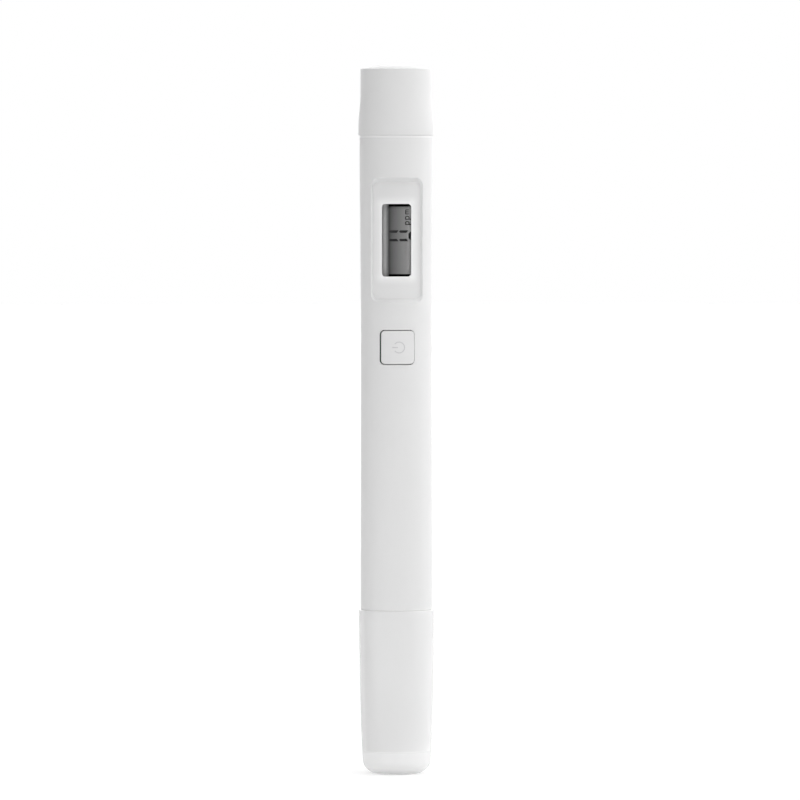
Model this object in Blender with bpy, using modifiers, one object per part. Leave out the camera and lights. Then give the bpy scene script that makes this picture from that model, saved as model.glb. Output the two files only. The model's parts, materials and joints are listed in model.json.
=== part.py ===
"""Digital water tester: a pen-shaped meter that reads the dissolved solids in water.

The pen stands upright on the foot of its probe cap. Z is the pen's long axis, the origin is the
centre of the foot, and the display and the button face -Y. Sizes are in metres.

Three shells make the outside: a barrel, a push-on top cap over the battery neck and a translucent
push-on probe cap. Inside, a tray carries the circuit board with its display and switch, a holder
takes two button cells, and a plug in the barrel's lower end carries the two electrodes.
"""

import math

import bmesh
import bpy
from mathutils import Matrix, Vector

MM = 0.001

# Driving dimensions of the pen.
TOTAL_HEIGHT = 151.0 * MM
RIM_RADIUS = 8.0 * MM
SEAM = 0.1 * MM
ROUND_STEPS = 48
SMALL_STEPS = 24
WIRE_SIDES = 2

# Heights of the two seams, of the display and of the button.
PROBE_SEAM_Z = 35.0 * MM
TOP_SEAM_Z = 135.6 * MM
DISPLAY_Z = 113.5 * MM
BUTTON_Z = 90.85 * MM

# Barrel: a tube that is slimmest at its waist, with a neck at its lower end.
BARREL_TOP_R = 7.74 * MM
BARREL_WAIST_R = 7.49 * MM
BARREL_WAIST_Z = 90.0 * MM
BARREL_FOOT_R = 7.57 * MM
BARREL_EDGE = 0.15 * MM
BARREL_BORE_R = 6.35 * MM
BATTERY_BORE_R = 6.95 * MM
BATTERY_BORE_Z = 128.3 * MM
NECK_R = 6.7 * MM
NECK_BORE_R = 5.8 * MM
NECK_END_Z = 27.1 * MM
NECK_BORE_TOP_Z = 36.2 * MM
BORE_STEP = 0.6 * MM

# Display pocket in the barrel: straight walls round a gently curved floor, with a window in it.
POCKET_HALF = (5.25 * MM, 13.1 * MM)
POCKET_CORNER = 1.6 * MM
POCKET_FLOOR_Y = -6.1 * MM
POCKET_FLOOR_CURVE = 13.0 * MM
PAD_INNER_Y = -4.6 * MM
PAD_OUTER_R = 6.9 * MM
PAD_HALF_Z = 14.1 * MM
WINDOW_HALF = (3.1 * MM, 7.7 * MM)
WINDOW_CORNER = 0.5 * MM

# Button and its hole.
BUTTON_HOLE_HALF = (3.75 * MM, 3.83 * MM)
BUTTON_GAP = 0.25 * MM
BUTTON_CORNER = 1.05 * MM
BUTTON_BACK_Y = -5.35 * MM
BUTTON_FLANGE_HALF = (2.8 * MM, 4.9 * MM)
BUTTON_FLANGE_R = 6.1 * MM
BUTTON_TRAVEL = 0.4 * MM
MEMBRANE_HALF = (3.3 * MM, 5.3 * MM)
MEMBRANE_Y = (-5.27 * MM, -4.97 * MM)

# Top cap: slim at its top and flared at its rim.
TOP_CAP_TOP_R = 7.62 * MM
TOP_CAP_CROWN = 1.0 * MM
TOP_CAP_FILLET = 0.2 * MM
TOP_CAP_FLARE_Z = (137.2 * MM, 145.0 * MM)
TOP_CAP_BORE_R = 7.0 * MM
TOP_CAP_MOUTH_R = 7.15 * MM
TOP_CAP_MOUTH_Z = 139.2 * MM
TOP_CAP_CEILING_Z = 148.4 * MM
CAP_EDGE = 0.2 * MM

# Probe cap: a cup with a thick floor and a rounded foot.
PROBE_CAP_WALL = 1.0 * MM
PROBE_CAP_FLOOR_Z = 4.6 * MM
PROBE_CAP_TAPER = 0.45 * MM
PROBE_CAP_PULL_IN = 0.55 * MM
FOOT_R = 3.9 * MM
FOOT_ROUND_Z = 3.6 * MM

# Battery holder, cells and contacts.
HOLDER_R = 6.85 * MM
HOLDER_BORE_R = 5.95 * MM
HOLDER_Z = (128.7 * MM, 144.5 * MM)
HOLDER_FLOOR_Z = (130.3 * MM, 131.5 * MM)
HOLDER_SKIRT_R = 5.9 * MM
HOLDER_HOLE_R = 1.35 * MM
SEAL_GROOVE_Z = (137.2 * MM, 138.1 * MM)
SEAL_GROOVE_R = 6.54 * MM
STRIP_GROOVE_HALF_X = 1.3 * MM
STRIP_GROOVE_Y = 6.2 * MM
TOP_SEAL = (6.85 * MM, 0.27 * MM)
CELL_R = 5.8 * MM
CELL_HEIGHT = 5.35 * MM
CELL_STEP_R = 4.8 * MM
CELL_STEP_Z = 0.35 * MM
CELL_BASE_Z = (134.75 * MM, 140.25 * MM)
SPRING_Z = (132.05 * MM, 134.5 * MM)
SPRING_R = (3.9 * MM, 1.9 * MM)
SPRING_WIRE_R = 0.2 * MM
SPRING_TURNS = 3.5
SPRING_POINTS_A_TURN = 14
TERMINAL_R = 4.4 * MM
TERMINAL_Z = (131.6 * MM, 131.8 * MM)
TERMINAL_TAIL_Z = 124.0 * MM
TERMINAL_TAIL_Y = (-0.92 * MM, -0.72 * MM)
TERMINAL_TAIL_HALF_X = 0.8 * MM
STRIP_THICKNESS = 0.18 * MM
STRIP_HALF_WIDTH = 1.1 * MM
LEAF_THICKNESS = 0.25 * MM
LEAF_HALF_WIDTH = 1.4 * MM

# Circuit board and tray.
BOARD_HALF_X = 5.6 * MM
BOARD_Y = (-0.6 * MM, 0.4 * MM)
BOARD_Z = (38.0 * MM, 126.5 * MM)
TRAY_R = (5.3 * MM, 6.2 * MM)
TRAY_Z = (40.0 * MM, 121.5 * MM)
TRAY_FRONT_Y = -1.6 * MM
TRAY_SLOT_HALF_X = 5.75 * MM
TRAY_SLOT_Y = (-0.75 * MM, 0.55 * MM)
TRAY_WINDOW_HALF_X = 2.6 * MM
TRAY_WINDOWS_Z = ((48.0 * MM, 66.0 * MM), (72.0 * MM, 90.0 * MM), (96.0 * MM, 114.0 * MM))

# Display module, from front to back.
LENS_GAP = 0.12 * MM
LENS_Y = (-5.95 * MM, -4.5 * MM, -4.0 * MM)
LENS_FLANGE_HALF = (3.7 * MM, 8.3 * MM)
POLARIZER = ((-1.65 * MM, 3.8 * MM), (-3.93 * MM, -3.79 * MM), 7.2 * MM)
FRONT_GLASS = ((-3.8 * MM, 3.8 * MM), (-3.7 * MM, -3.0 * MM), 8.2 * MM)
REAR_GLASS = ((-1.55 * MM, 3.8 * MM), (-2.9 * MM, -2.2 * MM), 7.3 * MM)
BACKING_PAD = ((-1.3 * MM, 3.6 * MM), (-2.1 * MM, -0.8 * MM), 7.0 * MM)
ZEBRA = ((-3.6 * MM, -1.9 * MM), (-2.9 * MM, -0.7 * MM), 8.1 * MM)
FRAME_OUTER_HALF = (4.45 * MM, 10.1 * MM)
FRAME_INNER_HALF = (3.95 * MM, 8.5 * MM)
FRAME_Y = (-4.2 * MM, -0.75 * MM)
FRAME_CORNER = 0.6 * MM

# Push switch under the button.
SWITCH_HALF = 3.0 * MM
SWITCH_Y = (-4.2 * MM, -0.7 * MM)
PLUNGER_R = 1.7 * MM
PLUNGER_Y = (-4.9 * MM, -3.2 * MM)
PLUNGER_HOLE_R = 1.85 * MM
PLUNGER_HOLE_Y = -2.6 * MM

# Probe plug, its guard, electrodes and sensor.
PLUG_R = 5.65 * MM
PLUG_TOP_Z = 36.5 * MM
PLUG_BORE_R = 4.3 * MM
PLUG_WEB_Z = (20.0 * MM, 22.5 * MM)
PLUG_FLANGE_R = 6.6 * MM
PLUG_FLANGE_Z = (25.4 * MM, 26.9 * MM)
PLUG_GROOVE_Z = (32.7 * MM, 33.7 * MM)
PLUG_GROOVE_R = 4.95 * MM
GUARD_R = (5.9 * MM, 5.5 * MM)
GUARD_BORE_R = (4.75 * MM, 4.6 * MM)
GUARD_END_Z = 9.6 * MM
GUARD_SLOT_HALF_X = 2.4 * MM
GUARD_SLOT_TOP_Z = 18.0 * MM
PROBE_SEAL = (5.35 * MM, 0.36 * MM)
PIN_X = 2.2 * MM
PIN_R = 1.0 * MM
PIN_TAIL_R = 0.6 * MM
PIN_Z = (10.2 * MM, 26.0 * MM)
PIN_TAIL_Z = 24.4 * MM
PIN_HOLE_R = 1.1 * MM
BEAD_R = 0.85 * MM
BEAD_HALF_Z = 1.0 * MM
BEAD_Z = 23.8 * MM
SENSOR_LEAD_R = 0.18 * MM
PROBE_WIRE_R = 0.4 * MM

# Board components: (name, half x, depth off the board, half z, x, z), all on the board's rear.
BLOCK_COMPONENTS = (
    ("microcontroller", 3.4, 1.4, 3.4, 0.0, 73.0),
    ("amplifier_chip", 1.95, 1.5, 2.45, 0.6, 56.5),
    ("chip_resistor_1", 1.0, 0.5, 0.62, -2.4, 63.5),
    ("chip_resistor_2", 1.0, 0.5, 0.62, 2.4, 63.5),
    ("chip_resistor_3", 1.0, 0.5, 0.62, -3.4, 51.0),
    ("chip_resistor_4", 1.0, 0.5, 0.62, 3.4, 51.0),
    ("chip_capacitor_1", 1.0, 0.9, 0.62, -2.6, 80.5),
    ("chip_capacitor_2", 1.0, 0.9, 0.62, 2.6, 80.5),
)
SOLDER_GAP = 0.1 * MM
CRYSTAL = (1.0 * MM, 6.2 * MM, -3.3 * MM, 85.0 * MM)
CAPACITOR = (2.0 * MM, 3.6 * MM, 0.0 * MM, 100.0 * MM)


def clear_scene():
    for obj in list(bpy.data.objects):
        bpy.data.objects.remove(obj, do_unlink=True)


def collection_named(name):
    collection = bpy.data.collections.new(name)
    bpy.context.scene.collection.children.link(collection)
    return collection


clear_scene()
PARTS = collection_named("water_tester")
CUTTERS = collection_named("cutters")


def material(name, color, roughness, metallic=0.0, alpha=1.0):
    made = bpy.data.materials.new(name)
    made.use_nodes = True
    shader = made.node_tree.nodes["Principled BSDF"]
    shader.inputs["Base Color"].default_value = (*color, 1.0)
    shader.inputs["Roughness"].default_value = roughness
    shader.inputs["Metallic"].default_value = metallic
    shader.inputs["Alpha"].default_value = alpha
    return made


WHITE_ABS = material("white_abs", (0.84, 0.84, 0.85), 0.5)
FROSTED_PP = material("frosted_polypropylene", (0.86, 0.87, 0.88), 0.55, alpha=0.9)
CLEAR_ACRYLIC = material("clear_acrylic", (0.93, 0.95, 0.95), 0.05, alpha=0.35)
LCD_GLASS = material("lcd_glass", (0.55, 0.58, 0.56), 0.08, alpha=0.6)
LCD_FILM = material("lcd_film", (0.24, 0.25, 0.25), 0.3)
BLACK_PLASTIC = material("black_plastic", (0.03, 0.03, 0.03), 0.45)
GREY_SILICONE = material("grey_silicone", (0.45, 0.45, 0.46), 0.6)
BLACK_RUBBER = material("black_rubber", (0.04, 0.04, 0.04), 0.7)
GREEN_BOARD = material("green_solder_mask", (0.03, 0.22, 0.09), 0.35)
CERAMIC = material("component_ceramic", (0.35, 0.28, 0.2), 0.5)
NICKEL = material("nickel_plate", (0.75, 0.73, 0.7), 0.25, 1.0)
TITANIUM = material("titanium", (0.55, 0.53, 0.5), 0.35, 1.0)
RED_WIRE = material("red_insulation", (0.6, 0.05, 0.04), 0.5)
BLACK_WIRE = material("black_insulation", (0.03, 0.03, 0.03), 0.5)


def place(name, mesh, finish, location=(0, 0, 0)):
    """Links a new object: a part with its finish, or a cutter where the finish is None."""
    obj = bpy.data.objects.new(name, mesh)
    obj.location = location
    if finish is None:
        CUTTERS.objects.link(obj)
        obj.hide_render = True
        obj.display_type = "WIRE"
    else:
        PARTS.objects.link(obj)
        mesh.materials.append(finish)
    return obj


def mesh_of(name, bm):
    mesh = bpy.data.meshes.new(name)
    bm.to_mesh(mesh)
    bm.free()
    return mesh


def turned(name, profile, finish, steps=ROUND_STEPS, loop=True, location=(0, 0, 0)):
    """A solid turned about its own Z. The (radius, height) points run down the outside first."""
    mesh = bpy.data.meshes.new(name)
    count = len(profile)
    edges = [(i, (i + 1) % count) for i in range(count if loop else count - 1)]
    mesh.from_pydata([(r, 0.0, z) for r, z in profile], edges, [])
    obj = place(name, mesh, finish, location)
    screw = obj.modifiers.new("Turn", "SCREW")
    screw.steps = steps
    screw.render_steps = steps
    screw.use_merge_vertices = True
    screw.merge_threshold = 1e-6
    screw.use_smooth_shade = True
    return obj


def block(name, low, high, finish, location=(0, 0, 0), corner=0.0, axis=1, segments=4):
    """A box between two corners. The edges along the axis are rounded where a corner is given."""
    bm = bmesh.new()
    bmesh.ops.create_cube(bm, size=1.0)
    size = Vector(high) - Vector(low)
    centre = (Vector(high) + Vector(low)) / 2
    bmesh.ops.scale(bm, vec=size, verts=bm.verts)
    bmesh.ops.translate(bm, vec=centre, verts=bm.verts)
    if corner:
        along = [
            edge
            for edge in bm.edges
            if abs((edge.verts[0].co - edge.verts[1].co).normalized()[axis]) > 0.9
        ]
        bmesh.ops.bevel(
            bm, geom=along, offset=corner, segments=segments, profile=0.5, affect="EDGES"
        )
    return place(name, mesh_of(name, bm), finish, location)


def cylinder(name, radius, start, end, finish, axis="Z", steps=SMALL_STEPS, location=(0, 0, 0)):
    """A cylinder between two places along an axis through its own origin."""
    bm = bmesh.new()
    bmesh.ops.create_cone(
        bm, cap_ends=True, segments=steps, radius1=radius, radius2=radius, depth=end - start
    )
    bmesh.ops.translate(bm, vec=(0, 0, (start + end) / 2), verts=bm.verts)
    if axis == "Y":
        turn = Matrix.Rotation(math.radians(-90), 3, "X")
        bmesh.ops.rotate(bm, matrix=turn, verts=bm.verts)
    return place(name, mesh_of(name, bm), finish, location)


def adopt_new_primitive(name, finish):
    """Names the primitive that was just added and moves it in with the parts."""
    obj = bpy.context.active_object
    obj.name = name
    obj.data.name = name
    for collection in list(obj.users_collection):
        collection.objects.unlink(obj)
    PARTS.objects.link(obj)
    obj.data.materials.append(finish)
    obj.data.shade_smooth()
    return obj


def seal_ring(name, size, z):
    bpy.ops.mesh.primitive_torus_add(
        major_radius=size[0],
        minor_radius=size[1],
        major_segments=ROUND_STEPS,
        minor_segments=8,
        location=(0, 0, z),
    )
    adopt_new_primitive(name, BLACK_RUBBER)


def combine(obj, other, operation):
    """Adds a Boolean that cuts another shape from obj, joins it on or keeps what both hold."""
    modifier = obj.modifiers.new(other.name, "BOOLEAN")
    modifier.operation = operation
    modifier.object = other
    modifier.solver = "EXACT"


def cut(obj, *others):
    for other in others:
        combine(obj, other, "DIFFERENCE")


def arc(centre, radii, start, end, count):
    """Points on an elliptical arc of (radius, height), with angles in degrees from +radius."""
    points = []
    for i in range(count + 1):
        angle = math.radians(start + (end - start) * i / count)
        r = centre[0] + radii[0] * math.cos(angle)
        z = centre[1] + radii[1] * math.sin(angle)
        points.append((r, z))
    return points


def ribbon_outline(path, thickness):
    """The closed outline of a flat strip seen edge on, following a path."""
    left, right = [], []
    for i, point in enumerate(path):
        here = Vector(point)
        before = Vector(path[max(i - 1, 0)])
        after = Vector(path[min(i + 1, len(path) - 1)])
        into = (here - before).normalized() if i else (after - here).normalized()
        out = (after - here).normalized() if i < len(path) - 1 else into
        along = (into + out).normalized()
        side = Vector((-along.y, along.x)) * (thickness / 2 / max(along.dot(into), 0.5))
        left.append(here + side)
        right.append(here - side)
    return left + right[::-1]


def bent_strip(name, path, thickness, half_width, finish):
    """A strip bent in the YZ plane: an outline in that plane, extruded along X."""
    curve = bpy.data.curves.new(name, "CURVE")
    curve.dimensions = "2D"
    curve.fill_mode = "BOTH"
    curve.extrude = half_width
    outline = ribbon_outline(path, thickness)
    spline = curve.splines.new("POLY")
    spline.points.add(len(outline) - 1)
    for point, (y, z) in zip(spline.points, outline):
        point.co = (y, z, 0.0, 1.0)
    spline.use_cyclic_u = True
    obj = place(name, curve, finish)
    obj.rotation_euler = (math.radians(90), 0, math.radians(90))
    return obj


def wire(name, points, radius, finish, smooth_steps=0):
    """A round wire along its points, or along a smooth curve through them."""
    path = [Vector(p) for p in points]
    if smooth_steps:
        path = smooth_path(path, smooth_steps)
    curve = bpy.data.curves.new(name, "CURVE")
    curve.dimensions = "3D"
    curve.bevel_depth = radius
    curve.bevel_resolution = WIRE_SIDES
    curve.use_fill_caps = True
    spline = curve.splines.new("POLY")
    spline.points.add(len(path) - 1)
    for point, place_at in zip(spline.points, path):
        point.co = (*place_at, 1.0)
    return place(name, curve, finish)


def smooth_path(points, steps):
    """A Catmull-Rom curve through the points."""
    ends = [points[0] * 2 - points[1], *points, points[-1] * 2 - points[-2]]
    path = []
    for i in range(1, len(ends) - 2):
        a, b, c, d = ends[i - 1 : i + 3]
        for step in range(steps):
            t = step / steps
            path.append(
                0.5
                * (
                    2 * b
                    + (c - a) * t
                    + (2 * a - 5 * b + 4 * c - d) * t**2
                    + (3 * b - a - 3 * c + d) * t**3
                )
            )
    return [*path, points[-1]]


def empty(name, location):
    obj = bpy.data.objects.new(name, None)
    obj.empty_display_size = 4 * MM
    obj.location = location
    PARTS.objects.link(obj)
    return obj


def carry(parent, *pieces):
    """Parents pieces to an empty on their joint's axis, leaving them where they are."""
    for piece in pieces:
        piece.parent = parent
        piece.matrix_parent_inverse = Matrix.Translation(-parent.location)


def prism_through_front(name, half, corner, depth_y, z, segments=4):
    """A cutter with a rounded outline that enters the barrel from the front."""
    return block(
        name,
        (-half[0], -2 * RIM_RADIUS, -half[1]),
        (half[0], depth_y, half[1]),
        None,
        location=(0, 0, z),
        corner=corner,
        segments=segments,
    )


def make_barrel():
    profile = [
        (BATTERY_BORE_R, TOP_SEAM_Z),
        (BARREL_TOP_R - BARREL_EDGE, TOP_SEAM_Z),
        (BARREL_TOP_R, TOP_SEAM_Z - BARREL_EDGE),
        (BARREL_WAIST_R, BARREL_WAIST_Z),
        (BARREL_FOOT_R, PROBE_SEAM_Z + SEAM + BARREL_EDGE),
        (BARREL_FOOT_R - BARREL_EDGE, PROBE_SEAM_Z + SEAM),
        (NECK_R, PROBE_SEAM_Z + SEAM),
        (NECK_R, NECK_END_Z + 2 * BARREL_EDGE),
        (NECK_R - 2 * BARREL_EDGE, NECK_END_Z),
        (NECK_BORE_R, NECK_END_Z),
        (NECK_BORE_R, NECK_BORE_TOP_Z),
        (BARREL_BORE_R, NECK_BORE_TOP_Z + BORE_STEP),
        (BARREL_BORE_R, BATTERY_BORE_Z - BORE_STEP),
        (BATTERY_BORE_R, BATTERY_BORE_Z),
    ]
    barrel = turned("barrel", profile, WHITE_ABS)
    combine(barrel, make_display_pad(), "UNION")
    pocket = prism_through_front(
        "pocket_cutter", POCKET_HALF, POCKET_CORNER, PAD_INNER_Y - 0.3 * MM, DISPLAY_Z, 5
    )
    pocket_floor = cylinder(
        "pocket_floor",
        POCKET_FLOOR_CURVE,
        -2 * PAD_HALF_Z,
        2 * PAD_HALF_Z,
        None,
        steps=4 * ROUND_STEPS,
        location=(0, POCKET_FLOOR_Y + POCKET_FLOOR_CURVE, DISPLAY_Z),
    )
    cut(pocket, pocket_floor)
    window = prism_through_front(
        "window_cutter", WINDOW_HALF, WINDOW_CORNER, PAD_INNER_Y + 1 * MM, DISPLAY_Z, 3
    )
    button_hole = prism_through_front(
        "button_cutter", BUTTON_HOLE_HALF, BUTTON_CORNER, BUTTON_BACK_Y + 2 * MM, BUTTON_Z
    )
    cut(barrel, pocket, window, button_hole)


def make_display_pad():
    """The thicker wall behind the pocket, flat on its inner side."""
    pad = cylinder(
        "display_pad",
        PAD_OUTER_R,
        -PAD_HALF_Z,
        PAD_HALF_Z,
        None,
        steps=ROUND_STEPS,
        location=(0, 0, DISPLAY_Z),
    )
    behind = block(
        "pad_back_cutter",
        (-2 * RIM_RADIUS, PAD_INNER_Y, -2 * PAD_HALF_Z),
        (2 * RIM_RADIUS, 2 * RIM_RADIUS, 2 * PAD_HALF_Z),
        None,
        location=(0, 0, DISPLAY_Z),
    )
    cut(pad, behind)
    return pad


def top_cap_flare(share):
    """The cap's radius between its slim top (share 0) and its rim (share 1), on an S-curve."""
    eased = share * share * (3 - 2 * share)
    return TOP_CAP_TOP_R + (RIM_RADIUS - TOP_CAP_TOP_R) * eased


def make_top_cap():
    flare_low, flare_high = TOP_CAP_FLARE_Z
    crown_z = TOTAL_HEIGHT - TOP_CAP_CROWN
    fillet_centre = (TOP_CAP_TOP_R - TOP_CAP_FILLET, crown_z - TOP_CAP_FILLET)
    profile = [(0.0, TOTAL_HEIGHT), (TOP_CAP_TOP_R / 2, TOTAL_HEIGHT - TOP_CAP_CROWN / 4)]
    profile += arc(fillet_centre, (TOP_CAP_FILLET, TOP_CAP_FILLET), 90, 0, 3)
    for i in range(5):
        share = i / 4
        z = flare_high + (flare_low - flare_high) * share
        profile.append((top_cap_flare(share), z))
    rim_z = TOP_SEAM_Z + SEAM
    profile += [
        (RIM_RADIUS, rim_z + CAP_EDGE),
        (RIM_RADIUS - CAP_EDGE, rim_z),
        (TOP_CAP_MOUTH_R, rim_z),
        (TOP_CAP_MOUTH_R, TOP_CAP_MOUTH_Z),
        (TOP_CAP_BORE_R, TOP_CAP_MOUTH_Z + 2 * CAP_EDGE),
        (TOP_CAP_BORE_R, TOP_CAP_CEILING_Z - 2 * CAP_EDGE),
        (TOP_CAP_BORE_R - 2 * CAP_EDGE, TOP_CAP_CEILING_Z),
        (0.0, TOP_CAP_CEILING_Z),
    ]
    cap = turned("top_cap", profile, WHITE_ABS, loop=False)
    leaf_path = [
        (6.3 * MM, 145.05 * MM),
        (6.3 * MM, 147.7 * MM),
        (6.05 * MM, 147.95 * MM),
        (-4.6 * MM, 147.95 * MM),
        (-5.0 * MM, 147.6 * MM),
        (-4.4 * MM, 147.3 * MM),
        (0.2 * MM, 145.95 * MM),
        (1.3 * MM, 145.95 * MM),
        (2.2 * MM, 146.3 * MM),
    ]
    leaf = bent_strip("cap_contact", leaf_path, LEAF_THICKNESS, LEAF_HALF_WIDTH, NICKEL)
    carry(empty("top_cap_slide", (0, 0, rim_z)), cap, leaf)


def probe_cap_radius(z):
    """The probe cap's outer radius: a slight taper that pulls in faster towards the foot."""
    below_rim = (PROBE_SEAM_Z - z) / PROBE_SEAM_Z
    return RIM_RADIUS - PROBE_CAP_TAPER * below_rim - PROBE_CAP_PULL_IN * below_rim**4


def make_probe_cap():
    """A cup: its profile runs from the inner floor up the inside, over the rim and down outside."""
    floor_fillet = 2.5 * CAP_EDGE
    inner_foot_r = probe_cap_radius(PROBE_CAP_FLOOR_Z) - PROBE_CAP_WALL
    profile = [
        (0.0, PROBE_CAP_FLOOR_Z),
        (inner_foot_r - floor_fillet, PROBE_CAP_FLOOR_Z),
        (inner_foot_r, PROBE_CAP_FLOOR_Z + floor_fillet),
    ]
    for i in range(1, 5):
        z = PROBE_CAP_FLOOR_Z + (PROBE_SEAM_Z - PROBE_CAP_FLOOR_Z) * i / 4
        profile.append((probe_cap_radius(z) - PROBE_CAP_WALL, z))
    profile += [
        (RIM_RADIUS - CAP_EDGE, PROBE_SEAM_Z),
        (RIM_RADIUS, PROBE_SEAM_Z - CAP_EDGE),
    ]
    for i in range(1, 5):
        z = PROBE_SEAM_Z + (FOOT_ROUND_Z - PROBE_SEAM_Z) * i / 5
        profile.append((probe_cap_radius(z), z))
    corner = (probe_cap_radius(FOOT_ROUND_Z) - FOOT_R, FOOT_ROUND_Z)
    profile += arc((FOOT_R, FOOT_ROUND_Z), corner, 0, -90, 6)
    profile.append((0.0, 0.0))
    cap = turned("probe_cap", profile, FROSTED_PP, loop=False)
    carry(empty("probe_cap_slide", (0, 0, PROBE_SEAM_Z)), cap)


def make_button():
    """The key and its retaining flange, made about an origin on the key's own axis."""
    half = (BUTTON_HOLE_HALF[0] - BUTTON_GAP, BUTTON_HOLE_HALF[1] - BUTTON_GAP)
    key = block(
        "measure_button",
        (-half[0], -2 * RIM_RADIUS, -half[1]),
        (half[0], BUTTON_BACK_Y, half[1]),
        WHITE_ABS,
        location=(0, 0, BUTTON_Z),
        corner=BUTTON_CORNER - BUTTON_GAP,
    )
    face = cylinder(
        "button_face", BARREL_WAIST_R, -4 * MM, 4 * MM, None, steps=96, location=(0, 0, BUTTON_Z)
    )
    combine(key, face, "INTERSECT")
    flange = block(
        "button_flange",
        (-BUTTON_FLANGE_HALF[0], -2 * RIM_RADIUS, -BUTTON_FLANGE_HALF[1]),
        (BUTTON_FLANGE_HALF[0], BUTTON_BACK_Y, BUTTON_FLANGE_HALF[1]),
        None,
        location=(0, 0, BUTTON_Z),
        corner=BUTTON_CORNER,
    )
    flange_face = cylinder(
        "button_flange_face",
        BUTTON_FLANGE_R,
        -6 * MM,
        6 * MM,
        None,
        steps=ROUND_STEPS,
        location=(0, 0, BUTTON_Z),
    )
    combine(flange, flange_face, "INTERSECT")
    combine(key, flange, "UNION")
    block(
        "button_membrane",
        (-MEMBRANE_HALF[0], MEMBRANE_Y[0], -MEMBRANE_HALF[1]),
        (MEMBRANE_HALF[0], MEMBRANE_Y[1], MEMBRANE_HALF[1]),
        GREY_SILICONE,
        location=(0, 0, BUTTON_Z),
        corner=BUTTON_CORNER,
    )


def make_switch():
    body = block(
        "switch_body",
        (-SWITCH_HALF, SWITCH_Y[0], -SWITCH_HALF),
        (SWITCH_HALF, SWITCH_Y[1], SWITCH_HALF),
        BLACK_PLASTIC,
        location=(0, 0, BUTTON_Z),
        corner=0.4 * MM,
        segments=2,
    )
    hole = cylinder(
        "plunger_hole",
        PLUNGER_HOLE_R,
        SWITCH_Y[0] - 1 * MM,
        PLUNGER_HOLE_Y,
        None,
        axis="Y",
        location=(0, 0, BUTTON_Z),
    )
    cut(body, hole)
    cylinder(
        "switch_plunger", PLUNGER_R, *PLUNGER_Y, BLACK_PLASTIC, axis="Y", location=(0, 0, BUTTON_Z)
    )


def make_display():
    half = (WINDOW_HALF[0] - LENS_GAP, WINDOW_HALF[1] - LENS_GAP)
    lens = block(
        "display_lens",
        (-half[0], LENS_Y[0], -half[1]),
        (half[0], LENS_Y[1] + 0.1 * MM, half[1]),
        CLEAR_ACRYLIC,
        location=(0, 0, DISPLAY_Z),
        corner=WINDOW_CORNER - LENS_GAP,
        segments=3,
    )
    flange = block(
        "lens_flange",
        (-LENS_FLANGE_HALF[0], LENS_Y[1], -LENS_FLANGE_HALF[1]),
        (LENS_FLANGE_HALF[0], LENS_Y[2], LENS_FLANGE_HALF[1]),
        None,
        location=(0, 0, DISPLAY_Z),
        corner=WINDOW_CORNER,
        segments=3,
    )
    combine(lens, flange, "UNION")
    plates = (
        ("lcd_polarizer", POLARIZER, LCD_FILM),
        ("lcd_front_glass", FRONT_GLASS, LCD_GLASS),
        ("lcd_rear_glass", REAR_GLASS, LCD_GLASS),
        ("lcd_backing_pad", BACKING_PAD, GREY_SILICONE),
        ("zebra_connector", ZEBRA, GREY_SILICONE),
    )
    for name, (across, depth, half_z), finish in plates:
        low = (across[0], depth[0], -half_z)
        high = (across[1], depth[1], half_z)
        block(name, low, high, finish, location=(0, 0, DISPLAY_Z))
    frame = block(
        "lcd_frame",
        (-FRAME_OUTER_HALF[0], FRAME_Y[0], -FRAME_OUTER_HALF[1]),
        (FRAME_OUTER_HALF[0], FRAME_Y[1], FRAME_OUTER_HALF[1]),
        BLACK_PLASTIC,
        location=(0, 0, DISPLAY_Z),
        corner=FRAME_CORNER,
        segments=3,
    )
    opening = prism_through_front(
        "frame_cutter", FRAME_INNER_HALF, FRAME_CORNER / 2, RIM_RADIUS, DISPLAY_Z, 2
    )
    cut(frame, opening)


def make_board():
    block(
        "circuit_board",
        (-BOARD_HALF_X, BOARD_Y[0], BOARD_Z[0]),
        (BOARD_HALF_X, BOARD_Y[1], BOARD_Z[1]),
        GREEN_BOARD,
    )
    rear = BOARD_Y[1] + SOLDER_GAP
    for name, half_x, depth, half_z, x, z in BLOCK_COMPONENTS:
        finish = CERAMIC if name.startswith("chip_") else BLACK_PLASTIC
        low = (-half_x * MM, rear, -half_z * MM)
        high = (half_x * MM, rear + depth * MM, half_z * MM)
        block(name, low, high, finish, location=(x * MM, 0, z * MM))
    radius, length, x, z = CRYSTAL
    cylinder(
        "crystal",
        radius,
        -length / 2,
        length / 2,
        NICKEL,
        location=(x, rear + radius, z),
        steps=16,
    )
    radius, height, x, z = CAPACITOR
    cylinder(
        "filter_capacitor", radius, rear, rear + height, NICKEL, axis="Y", location=(x, 0, z)
    )


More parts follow.
